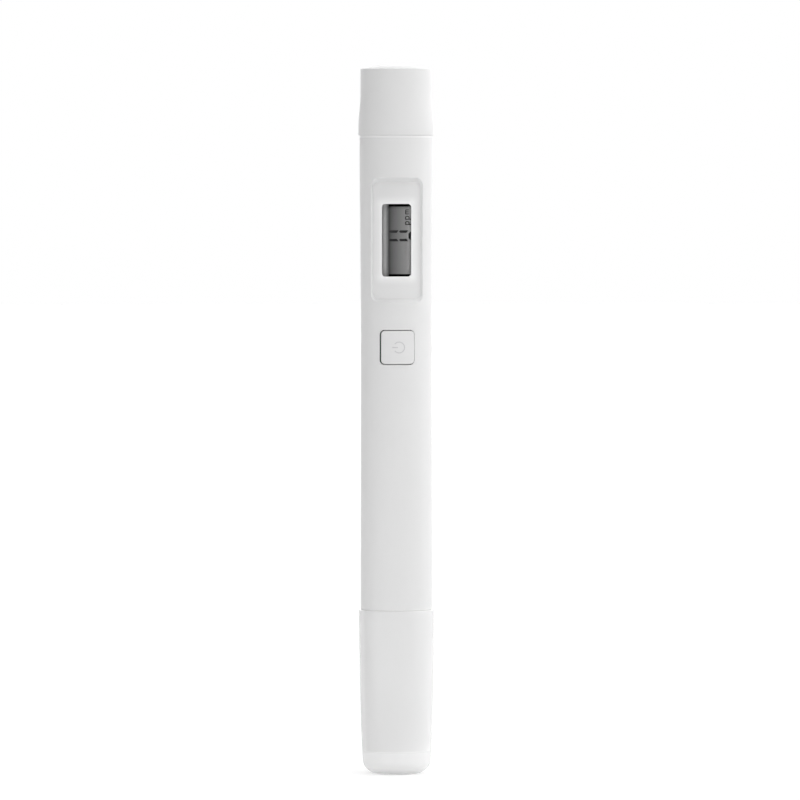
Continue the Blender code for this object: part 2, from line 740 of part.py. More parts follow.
def make_tray():
    """A half round carrier behind the board, with a slot along each side for the board's edge."""
    inner_r, outer_r = TRAY_R
    low_z, high_z = TRAY_Z
    profile = [(inner_r, high_z), (outer_r, high_z), (outer_r, low_z), (inner_r, low_z)]
    tray = turned("board_tray", profile, WHITE_ABS)
    front = block(
        "tray_front_cutter",
        (-2 * RIM_RADIUS, -2 * RIM_RADIUS, low_z - RIM_RADIUS),
        (2 * RIM_RADIUS, TRAY_FRONT_Y, high_z + RIM_RADIUS),
        None,
    )
    slot = block(
        "tray_slot_cutter",
        (-TRAY_SLOT_HALF_X, TRAY_SLOT_Y[0], low_z - RIM_RADIUS),
        (TRAY_SLOT_HALF_X, TRAY_SLOT_Y[1], high_z + RIM_RADIUS),
        None,
    )
    cut(tray, front, slot)
    for i, (start, end) in enumerate(TRAY_WINDOWS_Z):
        window = block(
            f"tray_window_cutter_{i + 1}",
            (-TRAY_WINDOW_HALF_X, BOARD_Y[1] + 1 * MM, start),
            (TRAY_WINDOW_HALF_X, 2 * RIM_RADIUS, end),
            None,
            corner=1 * MM,
            segments=2,
        )
        cut(tray, window)


def make_battery_holder():
    low_z, high_z = HOLDER_Z
    profile = [
        (HOLDER_BORE_R, high_z),
        (HOLDER_R - CAP_EDGE, high_z),
        (HOLDER_R, high_z - CAP_EDGE),
        (HOLDER_R, SEAL_GROOVE_Z[1]),
        (SEAL_GROOVE_R, SEAL_GROOVE_Z[1]),
        (SEAL_GROOVE_R, SEAL_GROOVE_Z[0]),
        (HOLDER_R, SEAL_GROOVE_Z[0]),
        (HOLDER_R, low_z),
        (HOLDER_SKIRT_R, low_z),
        (HOLDER_SKIRT_R, HOLDER_FLOOR_Z[0]),
        (HOLDER_HOLE_R, HOLDER_FLOOR_Z[0]),
        (HOLDER_HOLE_R, HOLDER_FLOOR_Z[1]),
        (HOLDER_BORE_R, HOLDER_FLOOR_Z[1]),
    ]
    holder = turned("battery_holder", profile, WHITE_ABS)
    groove = block(
        "strip_groove_cutter",
        (-STRIP_GROOVE_HALF_X, STRIP_GROOVE_Y, low_z - RIM_RADIUS),
        (STRIP_GROOVE_HALF_X, 2 * RIM_RADIUS, high_z + RIM_RADIUS),
        None,
    )
    cut(holder, groove)
    seal_ring("top_cap_seal_ring", TOP_SEAL, sum(SEAL_GROOVE_Z) / 2)


def make_cells():
    for name, base_z in zip(("battery_cell_lower", "battery_cell_upper"), CELL_BASE_Z):
        profile = [
            (0.0, CELL_HEIGHT),
            (CELL_R - CAP_EDGE, CELL_HEIGHT),
            (CELL_R, CELL_HEIGHT - CAP_EDGE),
            (CELL_R, CELL_STEP_Z),
            (CELL_STEP_R, CELL_STEP_Z),
            (CELL_STEP_R - CAP_EDGE, 0.0),
            (0.0, 0.0),
        ]
        turned(name, profile, NICKEL, steps=32, loop=False, location=(0, 0, base_z))


def make_contacts():
    disc = cylinder("negative_terminal", TERMINAL_R, *TERMINAL_Z, NICKEL)
    tail = block(
        "terminal_tail",
        (-TERMINAL_TAIL_HALF_X, TERMINAL_TAIL_Y[0], TERMINAL_TAIL_Z),
        (TERMINAL_TAIL_HALF_X, TERMINAL_TAIL_Y[1], sum(TERMINAL_Z) / 2),
        None,
    )
    combine(disc, tail, "UNION")
    turns = int(SPRING_TURNS * SPRING_POINTS_A_TURN)
    coil = []
    for i in range(turns + 1):
        share = i / turns
        angle = 2 * math.pi * SPRING_TURNS * share
        radius = SPRING_R[0] + (SPRING_R[1] - SPRING_R[0]) * share
        z = SPRING_Z[0] + (SPRING_Z[1] - SPRING_Z[0]) * share
        coil.append((radius * math.cos(angle), radius * math.sin(angle), z))
    wire("battery_spring", coil, SPRING_WIRE_R, NICKEL)
    strip_path = [
        (5.95 * MM, 144.72 * MM),
        (6.37 * MM, 144.72 * MM),
        (6.37 * MM, 128.5 * MM),
        (5.85 * MM, 127.6 * MM),
        (5.85 * MM, 126.4 * MM),
        (1.0 * MM, 124.9 * MM),
        (0.62 * MM, 124.4 * MM),
        (0.62 * MM, 122.4 * MM),
    ]
    bent_strip("positive_strip", strip_path, STRIP_THICKNESS, STRIP_HALF_WIDTH, NICKEL)


def make_probe_plug():
    profile = [
        (0.0, PLUG_WEB_Z[1]),
        (PLUG_BORE_R, PLUG_WEB_Z[1]),
        (PLUG_BORE_R, PLUG_TOP_Z),
        (PLUG_R - CAP_EDGE, PLUG_TOP_Z),
        (PLUG_R, PLUG_TOP_Z - CAP_EDGE),
        (PLUG_R, PLUG_GROOVE_Z[1]),
        (PLUG_GROOVE_R, PLUG_GROOVE_Z[1]),
        (PLUG_GROOVE_R, PLUG_GROOVE_Z[0]),
        (PLUG_R, PLUG_GROOVE_Z[0]),
        (PLUG_R, PLUG_FLANGE_Z[1]),
        (PLUG_FLANGE_R, PLUG_FLANGE_Z[1]),
        (PLUG_FLANGE_R, PLUG_FLANGE_Z[0] + 2 * CAP_EDGE),
        (PLUG_FLANGE_R - 2 * CAP_EDGE, PLUG_FLANGE_Z[0]),
        (GUARD_R[0], PLUG_FLANGE_Z[0]),
        (GUARD_R[1], GUARD_END_Z + CAP_EDGE),
        (GUARD_R[1] - CAP_EDGE, GUARD_END_Z),
        (GUARD_BORE_R[1], GUARD_END_Z),
        (GUARD_BORE_R[0], PLUG_WEB_Z[0]),
        (0.0, PLUG_WEB_Z[0]),
    ]
    plug = turned("probe_holder", profile, WHITE_ABS, loop=False)
    slot = block(
        "guard_slot_cutter",
        (-GUARD_SLOT_HALF_X, -2 * RIM_RADIUS, GUARD_END_Z - RIM_RADIUS),
        (GUARD_SLOT_HALF_X, 2 * RIM_RADIUS, GUARD_SLOT_TOP_Z),
        None,
        corner=1.2 * MM,
        segments=3,
    )
    cut(plug, slot)
    web_low, web_high = PLUG_WEB_Z
    pin_profile = [
        (0.0, PIN_Z[1]),
        (PIN_TAIL_R, PIN_Z[1]),
        (PIN_TAIL_R, PIN_TAIL_Z),
        (PIN_R, PIN_TAIL_Z),
        *arc((PIN_R / 2, PIN_Z[0] + PIN_R / 2), (PIN_R / 2, PIN_R / 2), 0, -90, 3),
        (0.0, PIN_Z[0]),
    ]
    for side, x in (("left", -PIN_X), ("right", PIN_X)):
        hole = cylinder(
            f"pin_hole_{side}",
            PIN_HOLE_R,
            web_low - 1 * MM,
            web_high + 1 * MM,
            None,
            location=(x, 0, 0),
        )
        cut(plug, hole)
        turned(
            f"probe_pin_{side}",
            pin_profile,
            TITANIUM,
            steps=SMALL_STEPS,
            loop=False,
            location=(x, 0, 0),
        )
    seal_ring("probe_seal_ring", PROBE_SEAL, sum(PLUG_GROOVE_Z) / 2)


def make_sensor_and_wires():
    bpy.ops.mesh.primitive_uv_sphere_add(
        segments=16, ring_count=8, radius=BEAD_R, location=(0, 0, BEAD_Z)
    )
    bead = adopt_new_primitive("thermistor_bead", BLACK_PLASTIC)
    for vertex in bead.data.vertices:
        vertex.co.z *= BEAD_HALF_Z / BEAD_R
    for side, sign, finish in (("left", -1, BLACK_WIRE), ("right", 1, RED_WIRE)):
        lead = [
            (sign * 0.35 * MM, 0.0, 25.0 * MM),
            (sign * 0.4 * MM, 0.0, 27.0 * MM),
            (sign * 0.8 * MM, -0.3 * MM, 31.0 * MM),
            (sign * 1.0 * MM, -0.8 * MM, 36.0 * MM),
            (sign * 1.1 * MM, -0.9 * MM, 40.5 * MM),
        ]
        wire(f"thermistor_lead_{side}", lead, SENSOR_LEAD_R, NICKEL, smooth_steps=3)
        route = [
            (sign * PIN_X, 0.0, 26.3 * MM),
            (sign * PIN_X, 0.1 * MM, 28.5 * MM),
            (sign * 2.7 * MM, 0.6 * MM, 32.5 * MM),
            (sign * 3.0 * MM, 1.0 * MM, 36.5 * MM),
            (sign * 3.0 * MM, 1.0 * MM, 41.5 * MM),
        ]
        wire(f"probe_wire_{side}", route, PROBE_WIRE_R, finish, smooth_steps=3)


make_barrel()
make_top_cap()
make_probe_cap()
make_button()
make_switch()
make_display()
make_board()
make_tray()
make_battery_holder()
make_cells()
make_contacts()
make_probe_plug()
make_sensor_and_wires()
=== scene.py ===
"""The looks of the digital water tester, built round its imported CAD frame.

Everything is in metres in the frame's own axes: +Z up along the pen, the display and the button
facing -Y. The shells, the key, the lens and what shows through it are modelled here in fine meshes;
the pieces inside the pen stay as CAD nodes with procedural materials.
"""
import json
import math

import bmesh
import bpy
from mathutils import Matrix, Vector


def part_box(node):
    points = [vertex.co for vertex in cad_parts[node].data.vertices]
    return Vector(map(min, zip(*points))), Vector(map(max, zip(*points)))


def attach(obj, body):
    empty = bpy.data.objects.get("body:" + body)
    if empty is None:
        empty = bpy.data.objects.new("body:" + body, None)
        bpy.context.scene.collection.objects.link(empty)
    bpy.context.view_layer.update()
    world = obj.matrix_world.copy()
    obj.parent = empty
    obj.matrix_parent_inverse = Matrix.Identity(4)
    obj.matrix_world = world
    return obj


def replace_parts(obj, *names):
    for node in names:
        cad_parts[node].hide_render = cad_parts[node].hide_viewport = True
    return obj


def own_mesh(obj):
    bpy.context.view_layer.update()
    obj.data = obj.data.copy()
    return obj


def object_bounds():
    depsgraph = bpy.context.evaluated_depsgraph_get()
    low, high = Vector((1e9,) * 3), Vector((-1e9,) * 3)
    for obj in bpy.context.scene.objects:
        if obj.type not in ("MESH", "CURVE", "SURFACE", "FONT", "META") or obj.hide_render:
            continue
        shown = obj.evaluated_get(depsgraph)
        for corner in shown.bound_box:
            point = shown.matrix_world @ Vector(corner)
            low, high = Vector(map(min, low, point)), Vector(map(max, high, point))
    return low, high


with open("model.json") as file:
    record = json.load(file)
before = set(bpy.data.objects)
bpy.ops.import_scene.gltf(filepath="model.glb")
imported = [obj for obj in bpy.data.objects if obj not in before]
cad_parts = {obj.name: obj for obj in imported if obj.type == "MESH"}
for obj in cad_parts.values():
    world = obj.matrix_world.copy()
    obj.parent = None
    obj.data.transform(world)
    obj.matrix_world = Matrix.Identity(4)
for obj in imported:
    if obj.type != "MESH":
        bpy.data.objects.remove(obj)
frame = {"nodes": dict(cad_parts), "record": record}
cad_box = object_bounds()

MM = 0.001

# Bodies of the frame.
BARREL_BODY = "barrel_body"
TOP_CAP_BODY = "top_cap_body"
PROBE_CAP_BODY = "probe_cap_body"
BUTTON_BODY = "button_body"


def middle_z(node):
    low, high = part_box(node)
    return (low.z + high.z) / 2


# Places that come from the frame.
RIM_R = cad_box[1].x
TOTAL_HEIGHT = cad_box[1].z
TOP_SEAM_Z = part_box("barrel")[1].z
NECK_END_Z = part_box("barrel")[0].z
TOP_CAP_RIM_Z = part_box("top_cap")[0].z
PROBE_SEAM_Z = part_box("probe_cap")[1].z
DISPLAY_Z = middle_z("display_lens")
BUTTON_Z = middle_z("measure_button")
KEY_BACK_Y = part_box("measure_button")[1].y
LENS_BACK_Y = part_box("display_lens")[1].y
FILM_LOW, FILM_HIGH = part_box("lcd_polarizer")

# Barrel.
SEAM = 0.05 * MM
BARREL_TOP_R = 7.74 * MM
BARREL_WAIST_R = 7.49 * MM
BARREL_WAIST_Z = 90.0 * MM
BARREL_FOOT_R = 7.57 * MM
BARREL_EDGE = 0.15 * MM
RIM_RISE = 0.09 * MM
BARREL_BORE_R = 6.35 * MM
BATTERY_BORE_R = 6.95 * MM
BATTERY_BORE_Z = 128.3 * MM
BORE_STEP = 0.6 * MM
NECK_R = 6.7 * MM
NECK_BORE_R = 5.8 * MM
NECK_BORE_TOP_Z = 36.2 * MM

# The parts of the barrel's mesh that hold the display pocket and the button's hole.
PATCH_R = 7.6 * MM
PATCH_HALF_X = 6.58 * MM
PATCH_CORNER = 1.6 * MM
PATCH_STEPS_X = 14
PATCH_STEPS_CORNER = 8
BACK_STEP_DEG = 3.75

# Display pocket.
POCKET_HALF = (5.46 * MM, 13.2 * MM)
POCKET_CORNER = 1.6 * MM
POCKET_PATCH_HALF_Z = 14.5 * MM
POCKET_FLOOR_Y = -6.1 * MM
POCKET_FLOOR_CURVE = 11.2 * MM
POCKET_LIP = 0.09 * MM
POCKET_WALL_SIDE = 0.45 * MM
POCKET_WALL_TOP = 0.85 * MM
POCKET_WALL_FOOT = 0.77 * MM
POCKET_CREASE = 0.14 * MM
POCKET_CREASE_DEPTH = 0.22 * MM
PAD_INNER_Y = -4.6 * MM
PAD_HALF = (4.3 * MM, 14.1 * MM)
WINDOW_HALF = (3.1 * MM, 7.68 * MM)
WINDOW_X = -0.06 * MM
WINDOW_CORNER = 0.75 * MM
WINDOW_EDGE = 0.05 * MM
# Painted light on the barrel: a halo round the window and highlight bands at both rims.
HALO_WIDTH = 2.0 * MM
HALO_FADE = 1.6
RIM_LIGHT = 0.36 * MM
FOOT_LIGHT = 0.22 * MM

# Button's hole and key.
HOLE_HALF = (3.67 * MM, 3.72 * MM)
HOLE_CORNER = 1.05 * MM
HOLE_EDGE = 0.05 * MM
HOLE_PATCH_HALF_Z = 5.4 * MM
KEY_HALF = (3.505 * MM, 3.53 * MM)
KEY_SHIFT = 0.115 * MM
KEY_MARK_X = 0.4 * MM
KEY_CORNER = 0.85 * MM
KEY_EDGE = 0.11 * MM
FLANGE_HALF = (2.8 * MM, 4.9 * MM)
FLANGE_R = 6.1 * MM
MEMBRANE_HALF = (3.3 * MM, 5.3 * MM)
MEMBRANE_Y = (-5.27 * MM, -4.97 * MM)
MEMBRANE_EDGE = 0.06 * MM

# Top cap.
TOP_CAP_TOP_R = 7.56 * MM
TOP_CAP_CREST_Z = TOTAL_HEIGHT - 0.4 * MM  # the crown is a little flatter than the CAD's
TOP_CAP_CROWN = 0.85 * MM
TOP_CAP_CROWN_POWER = 2.7
TOP_CAP_FILLET = 0.1 * MM
TOP_CAP_RIM_EDGE = 0.07 * MM
TOP_CAP_FLARE_Z = (137.2 * MM, 145.0 * MM)
TOP_CAP_BORE_R = 7.0 * MM
TOP_CAP_MOUTH_R = 7.15 * MM
TOP_CAP_MOUTH_Z = 139.2 * MM
TOP_CAP_CEILING_Z = 148.4 * MM
CAP_EDGE = 0.2 * MM

# Probe cap.
PROBE_CAP_WALL = 1.0 * MM
PROBE_CAP_FLOOR_Z = 4.95 * MM
PROBE_CAP_RIM = 0.12 * MM
PROBE_CAP_TAPER = 0.45 * MM
PROBE_CAP_PULL_IN = 0.55 * MM
FOOT_R = 3.9 * MM
FOOT_ROUND_Z = 3.2 * MM
GATE_R = 1.1 * MM
GATE_DEPTH = 0.12 * MM

# Battery sleeve and cells.
SLEEVE_R = 6.85 * MM
CELL_BORE_R = 5.95 * MM
SLEEVE_SKIRT = 1.6 * MM
SLEEVE_FLOOR = 1.2 * MM
SLEEVE_HOLE_R = 1.35 * MM
SLEEVE_GROOVE_Z = (137.2 * MM, 138.1 * MM)
SLEEVE_GROOVE_R = 6.54 * MM
STRIP_GROOVE_HALF_X = 1.3 * MM
STRIP_GROOVE_Y = 6.2 * MM
CELL_STEP_Z = 0.35 * MM
CELL_DISH = 0.05 * MM
CELL_DISH_SHARES = (0.74, 0.77)
CELL_MINUS_SHARES = (0.9, 0.83)
PLUS_ARM = 0.85 * MM
PLUS_BAR = 0.16 * MM
PLUS_DROPS = (0.05 * MM, 0.012 * MM)

# Probe guard.
PLUG_R = 5.65 * MM
PLUG_BORE_R = 4.3 * MM
FLANGE_RING_R = 6.6 * MM
GUARD_FLANGE_Z = (25.4 * MM, 26.9 * MM)
GUARD_WEB_Z = (20.0 * MM, 22.5 * MM)
GUARD_R = (5.5 * MM, 5.9 * MM)
GUARD_BORE_R = (4.75 * MM, 4.6 * MM)
GUARD_SLOT_HALF_X = 2.4 * MM
GUARD_SLOT_TOP_Z = 18.0 * MM
GUARD_SLOT_ROUND = 0.4
PIN_STEPS = 48

# Seals, as ring radius, half thickness and height.
TOP_SEAL = (6.85 * MM, 0.27 * MM, 137.65 * MM)
PROBE_SEAL = (5.35 * MM, 0.36 * MM, 33.2 * MM)

# Display.
LENS_GAP = 0.04 * MM
LENS_DROP = 0.35 * MM
LENS_FLANGE_HALF = (3.7 * MM, 8.3 * MM)
LENS_FLANGE_Y = -4.5 * MM
LENS_EDGE = 0.04 * MM
INK = 0.012 * MM
ELASTOMER_R = 0.5 * MM
ELASTOMER_EDGE = 0.1 * MM

# What the display shows, in millimetres from its centre as (x, z).
DIGIT_Z = (0.03, 1.82)
DIGIT_SPANS = ((-1.62, 0.3), (0.5, 2.35))
DIGIT_THICK = 0.27
DIGIT_MITRE = (0.1, 0.3)
DIGIT_END = ((2.5, 0.46), (2.85, 0.85), (3.3, 0.95))
UNIT_BASELINE_X = 2.62
UNIT_START_Z = 3.32
UNIT_PITCH = 1.12
UNIT_WEIGHT = 0.19
UNIT_HEIGHT = 0.79
UNIT_TAIL = 0.45
UNIT_BOW = 0.6
UNIT_LEG = 0.42
STRIP_RIGHT_X = 3.78
STRIP_INNER_Z = {-1: -7.22, 1: 7.1}
STRIP_OUTER_Z = 8.15
BARE_LEFT_X = -3.7
BARE_HALF_Z = 8.1

# The on mark on the key.
MARK_R = 1.15 * MM
MARK_STROKE = 0.2 * MM
MARK_GAP_DEG = 38.0
MARK_STEPS = 40
MARK_BAR_START = -1.45 * MM
MARK_BAR_STEP = 0.24 * MM
MARK_BAR_POINTS = 6

# Steps in round shapes, curves and fillets.
ROUND_STEPS = 128
CURVE_STEPS = 16
FILLET_STEPS = 5
LIP_STEPS = 4
SEAL_STEPS = 24
POCKET_STEPS_Z = 30
HOLE_STEPS_Z = 10

# Finishes. Sizes are metres, tones are linear and shares run from 0 to 1.
# Convex edges turn lighter: rubbed wear, and on the white plastic a painted highlight.
WEAR_AND_HIGHLIGHT_POINTINESS = (0.53, 0.6)
WORN_AND_HIGHLIGHT_SHADE = 1.3
# The painted highlight white for the barrel's rims and window halo, and its share at the foot.
PAINTED_HIGHLIGHT_WHITE = (0.99, 0.99, 0.99, 1.0)
FOOT_LIGHT_SHARE = 0.5
SMEAR_SIZE = 4 * MM
ACRYLIC_IOR = 1.49
FACE_ON_FRESNEL = 0.04
FROST_IOR = 1.5
# The lower cap is painted paler: painted light for the glow through its walls and foot.
FROST_PALE = (0.995, 0.995, 0.995, 1.0)
FROST_PALE_Z = (0.6 * PROBE_SEAM_Z, 0.9 * PROBE_SEAM_Z)
FROST_RIM_Z = (PROBE_SEAM_Z - 1.5 * PROBE_CAP_RIM, PROBE_SEAM_Z - 0.5 * PROBE_CAP_RIM)
FROST_RIM_DIM = 0.8
FROST_FOOT_Z = (0.3 * MM, 1.5 * MM)
FROST_FOOT_CLEAR = (0.55, 0.2)
FROST_THROUGH = (0.98, 0.98, 0.98, 1.0)
FROST_GLOW = 0.1
FROST_DEPTH_SHARE = 0.4
FROST_DEPTH = 2.0 * MM
FROST_EDGE = 0.7
SPECKLE_SIZE = 0.35 * MM
SPECKLE_TONE = (0.94, 1.06)
FILM_ROUGHNESS = (0.35, 0.5)
# Painted shade and light on the film: dark by the gap at its left edge, lighter to the right, and
# painted light at its right end where the window's wall shades it.
FILM_PAINTED_SHADE_TONES = (
    *((0.0, 0.09), (0.24, 0.1), (0.32, 0.2), (0.6, 0.37)),
    *((0.8, 0.55), (0.85, 0.65), (0.91, 1.0), (1.0, 1.0)),
)
# Painted light and shade on the glass's bare edge: lightest at its outer side where the window's
# wall shades it, darkening into the gap beside the film.
BARE_GLASS_PAINTED_SHADE_TONES = (
    *((0.0, 0.9), (0.06, 1.0), (0.12, 1.0), (0.16, 0.56)),
    *((0.19, 0.38), (0.24, 0.13), (1.0, 0.1)),
)


# Materials.

def add(tree, kind, inputs=None, **settings):
    """Adds a shader node. The inputs are plain values, or the sockets that feed them."""
    node = tree.nodes.new("ShaderNode" + kind)
    for key, value in settings.items():
        setattr(node, key, value)
    for key, value in (inputs or {}).items():
        if isinstance(value, bpy.types.NodeSocket):
            tree.links.new(value, node.inputs[key])
        else:
            node.inputs[key].default_value = value
    return node


def calc(tree, operation, *values):
    """A Math node's result."""
    return add(tree, "Math", dict(enumerate(values)), operation=operation).outputs["Value"]


def span(tree, value, ends=(0.0, 1.0), results=(0.0, 1.0)):
    """Maps a value that runs between two ends to run between two results."""
    inputs = {
        "Value": value,
        "From Min": ends[0],
        "From Max": ends[1],
        "To Min": results[0],
        "To Max": results[1],
    }
    return add(tree, "MapRange", inputs).outputs["Result"]


def object_place(tree):
    return add(tree, "TexCoord").outputs["Object"]


def noise(tree, place, size, detail):
    scale = 1 / size
    return add(tree, "TexNoise", {"Vector": place, "Scale": scale, "Detail": detail}).outputs["Fac"]


def mix_shaders(tree, share, first, second):
    return add(tree, "MixShader", {0: share, 1: first, 2: second}).outputs["Shader"]


def new_material(name):
    made = bpy.data.materials.new(name)
    made.use_nodes = True
    made.node_tree.nodes.clear()
    return made, made.node_tree


def output(tree, socket):
    add(tree, "OutputMaterial", {"Surface": socket})


def blend_colours(tree, factor, first, second):
    mix = add(tree, "Mix", {0: factor, 6: first, 7: second}, data_type="RGBA")
    return mix.outputs[2]


def ramp(tree, value, stops):
    """A colour ramp with (position, grey or colour) stops."""
    node = add(tree, "ValToRGB", {"Fac": value})
    elements = node.color_ramp.elements
    while len(elements) < len(stops):
        elements.new(0.5)
    for element, (position, colour) in zip(elements, stops):
        element.position = position
        rgb = (colour,) * 3 if isinstance(colour, float) else colour
        element.color = (*rgb, 1.0)
    return node.outputs["Color"]


def shade(colour, factor):
    return (*(min(1.0, c * factor) for c in colour), 1.0)


def surface_detail(
    tree, colour, roughness, tint=0.03, patch=6.0, grain=0.12, depth=1.5, stretch=(1, 1, 1),
    rough_spread=0.06, wear=0.0,
):
    """The colour, roughness and normal of a real surface: broad patches, fine grain, lighter convex
    edges: rubbed wear on most finishes, a painted highlight on the white plastic.

    patch and grain are sizes in millimetres, depth is the grain's height in micrometres.
    """
    stretched = {"Vector": object_place(tree), "Scale": stretch}
    mapped = add(tree, "Mapping", stretched).outputs["Vector"]
    broad = noise(tree, mapped, patch * MM, 3.0)
    fine = noise(tree, mapped, grain * MM, 2.0)
    base = blend_colours(tree, broad, shade(colour, 1 - tint), shade(colour, 1 + tint))
    # Lighter convex edges: rubbed wear, and on the white plastic a painted highlight along lips and
    # rims.
    if wear:
        edge = add(tree, "NewGeometry").outputs["Pointiness"]
        worn_and_lit = span(tree, edge, WEAR_AND_HIGHLIGHT_POINTINESS, (0.0, wear))
        base = blend_colours(tree, worn_and_lit, base, shade(colour, WORN_AND_HIGHLIGHT_SHADE))
    rough = span(tree, broad, results=(roughness - rough_spread, roughness + rough_spread))
    bump = add(tree, "Bump", {"Height": fine, "Strength": 1.0, "Distance": depth * 1e-6})
    return base, rough, bump.outputs["Normal"]


def solid_finish(
    name, colour, roughness, metallic=0.0, coat=0.0, specular=0.5, lighten=None, **detail
):
    made, tree = new_material(name)
    base, rough, normal = surface_detail(tree, colour, roughness, **detail)
    # Where a lighten mask is given, painted light whitens the colour there.
    if lighten:
        base = blend_colours(tree, lighten(tree), base, PAINTED_HIGHLIGHT_WHITE)
    shader = add(
        tree,
        "BsdfPrincipled",
        {
            "Base Color": base,
            "Roughness": rough,
            "Normal": normal,
            "Metallic": metallic,
            "Coat Weight": coat,
            "Specular IOR Level": specular,
        },
    )
    output(tree, shader.outputs["BSDF"])
    return made


def beyond(tree, value, centre, half):
    """How far a coordinate is outside a span, or 0 inside it."""
    off = calc(tree, "ABSOLUTE", calc(tree, "SUBTRACT", value, centre))
    return calc(tree, "MAXIMUM", calc(tree, "SUBTRACT", off, half), 0.0)


def painted_highlight_mask(tree):
    """Painted light on the barrel: highlights along its two rims and a halo round the window."""
    axes = add(tree, "SeparateXYZ", {"Vector": object_place(tree)}).outputs
    across = beyond(tree, axes["X"], WINDOW_X, WINDOW_HALF[0])
    along = beyond(tree, axes["Z"], DISPLAY_Z, WINDOW_HALF[1])
    squares = calc(tree, "MULTIPLY_ADD", across, across, calc(tree, "MULTIPLY", along, along))
    near = span(tree, calc(tree, "SQRT", squares), (0.0, HALO_WIDTH), (1.0, 0.0))
    halo = calc(tree, "POWER", near, HALO_FADE)
    front = calc(tree, "LESS_THAN", axes["Y"], 0.0)
    top_rim = calc(tree, "GREATER_THAN", axes["Z"], TOP_SEAM_Z - RIM_LIGHT)
    foot_rim = calc(tree, "LESS_THAN", axes["Z"], PROBE_SEAM_Z + FOOT_LIGHT)
    rims = calc(tree, "MAXIMUM", top_rim, calc(tree, "MULTIPLY", foot_rim, FOOT_LIGHT_SHARE))
    return calc(tree, "MAXIMUM", calc(tree, "MULTIPLY", halo, front), rims)


def clear_finish(name, tint, roughness, face_on):
    """Thin clear plastic or glass with an anti-glare face: it mirrors mostly at a slant."""
    made, tree = new_material(name)
    smear = noise(tree, object_place(tree), SMEAR_SIZE, 2.0)
    rough = span(tree, smear, results=(roughness, roughness * 2))
    gloss = add(tree, "BsdfGlossy", {"Roughness": rough})
    through = add(tree, "BsdfTransparent", {"Color": (*tint, 1.0)})
    edge = add(tree, "Fresnel", {"IOR": ACRYLIC_IOR}).outputs["Fac"]
    share = span(tree, edge, (FACE_ON_FRESNEL, 1.0), (face_on, 1.0))
    output(tree, mix_shaders(tree, share, through.outputs["BSDF"], gloss.outputs["BSDF"]))
    return made


def frosted_finish(name, colour, roughness):
    """Translucent plastic that is clearer at a slant and in its solid foot, with an opaque rim."""
    made, tree = new_material(name)
    base, rough, normal = surface_detail(
        tree, colour, roughness, tint=0.012, patch=9.0, grain=0.1, depth=2.0, wear=0.05
    )
    height = add(tree, "SeparateXYZ", {"Vector": object_place(tree)}).outputs["Z"]
    # Paler below: painted light for the glow through the lower cap.
    base = blend_colours(tree, span(tree, height, FROST_PALE_Z), FROST_PALE, base)
    rim = span(tree, height, FROST_RIM_Z)
    foot = span(tree, height, FROST_FOOT_Z, FROST_FOOT_CLEAR)
    below_floor = calc(tree, "LESS_THAN", height, PROBE_CAP_FLOOR_Z)
    skin = add(
        tree,
        "BsdfPrincipled",
        {
            "Base Color": base,
            "Roughness": rough,
            "Normal": normal,
            "Subsurface Weight": FROST_DEPTH_SHARE,
            "Subsurface Scale": FROST_DEPTH,
            "Subsurface Radius": (1.0, 1.0, 1.0),
        },
    )
    glow = add(tree, "BsdfTranslucent", {"Color": base, "Normal": normal})
    scatter = calc(tree, "MULTIPLY_ADD", rim, -FROST_RIM_DIM * FROST_GLOW, FROST_GLOW)
    body = mix_shaders(tree, scatter, skin.outputs["BSDF"], glow.outputs["BSDF"])
    through = add(tree, "BsdfTransparent", {"Color": FROST_THROUGH})
    # A wall scatters once: its far face only lets light out.
    leaving = add(tree, "NewGeometry").outputs["Backfacing"]
    edge = add(tree, "Fresnel", {"IOR": FROST_IOR}).outputs["Fac"]
    clear = calc(tree, "MULTIPLY", edge, FROST_EDGE)
    clear = calc(tree, "MULTIPLY", clear, calc(tree, "SUBTRACT", 1.0, rim))
    clear = calc(tree, "MAXIMUM", clear, calc(tree, "MULTIPLY", foot, below_floor))
    share = calc(tree, "MAXIMUM", leaving, clear)
    output(tree, mix_shaders(tree, share, body, through.outputs["BSDF"]))
    return made


def film_finish(name, stops):
    """Grey display film, its tone running across the window by the given stops of painted shade and
    painted light.
    """
    made, tree = new_material(name)
    place = object_place(tree)
    across = add(tree, "SeparateXYZ", {"Vector": place}).outputs["X"]
    base = ramp(tree, span(tree, across, (-WINDOW_HALF[0], WINDOW_HALF[0])), stops)
    speckle = noise(tree, place, SPECKLE_SIZE, 3.0)
    grey = span(tree, speckle, results=SPECKLE_TONE)
    toned = add(tree, "VectorMath", {0: base, "Scale": grey}, operation="SCALE")
    shader = add(
        tree,
        "BsdfPrincipled",
        {
            "Base Color": toned.outputs["Vector"],
            "Roughness": span(tree, speckle, results=FILM_ROUGHNESS),
            "Specular IOR Level": 0.2,
        },
    )
    output(tree, shader.outputs["BSDF"])
    return made


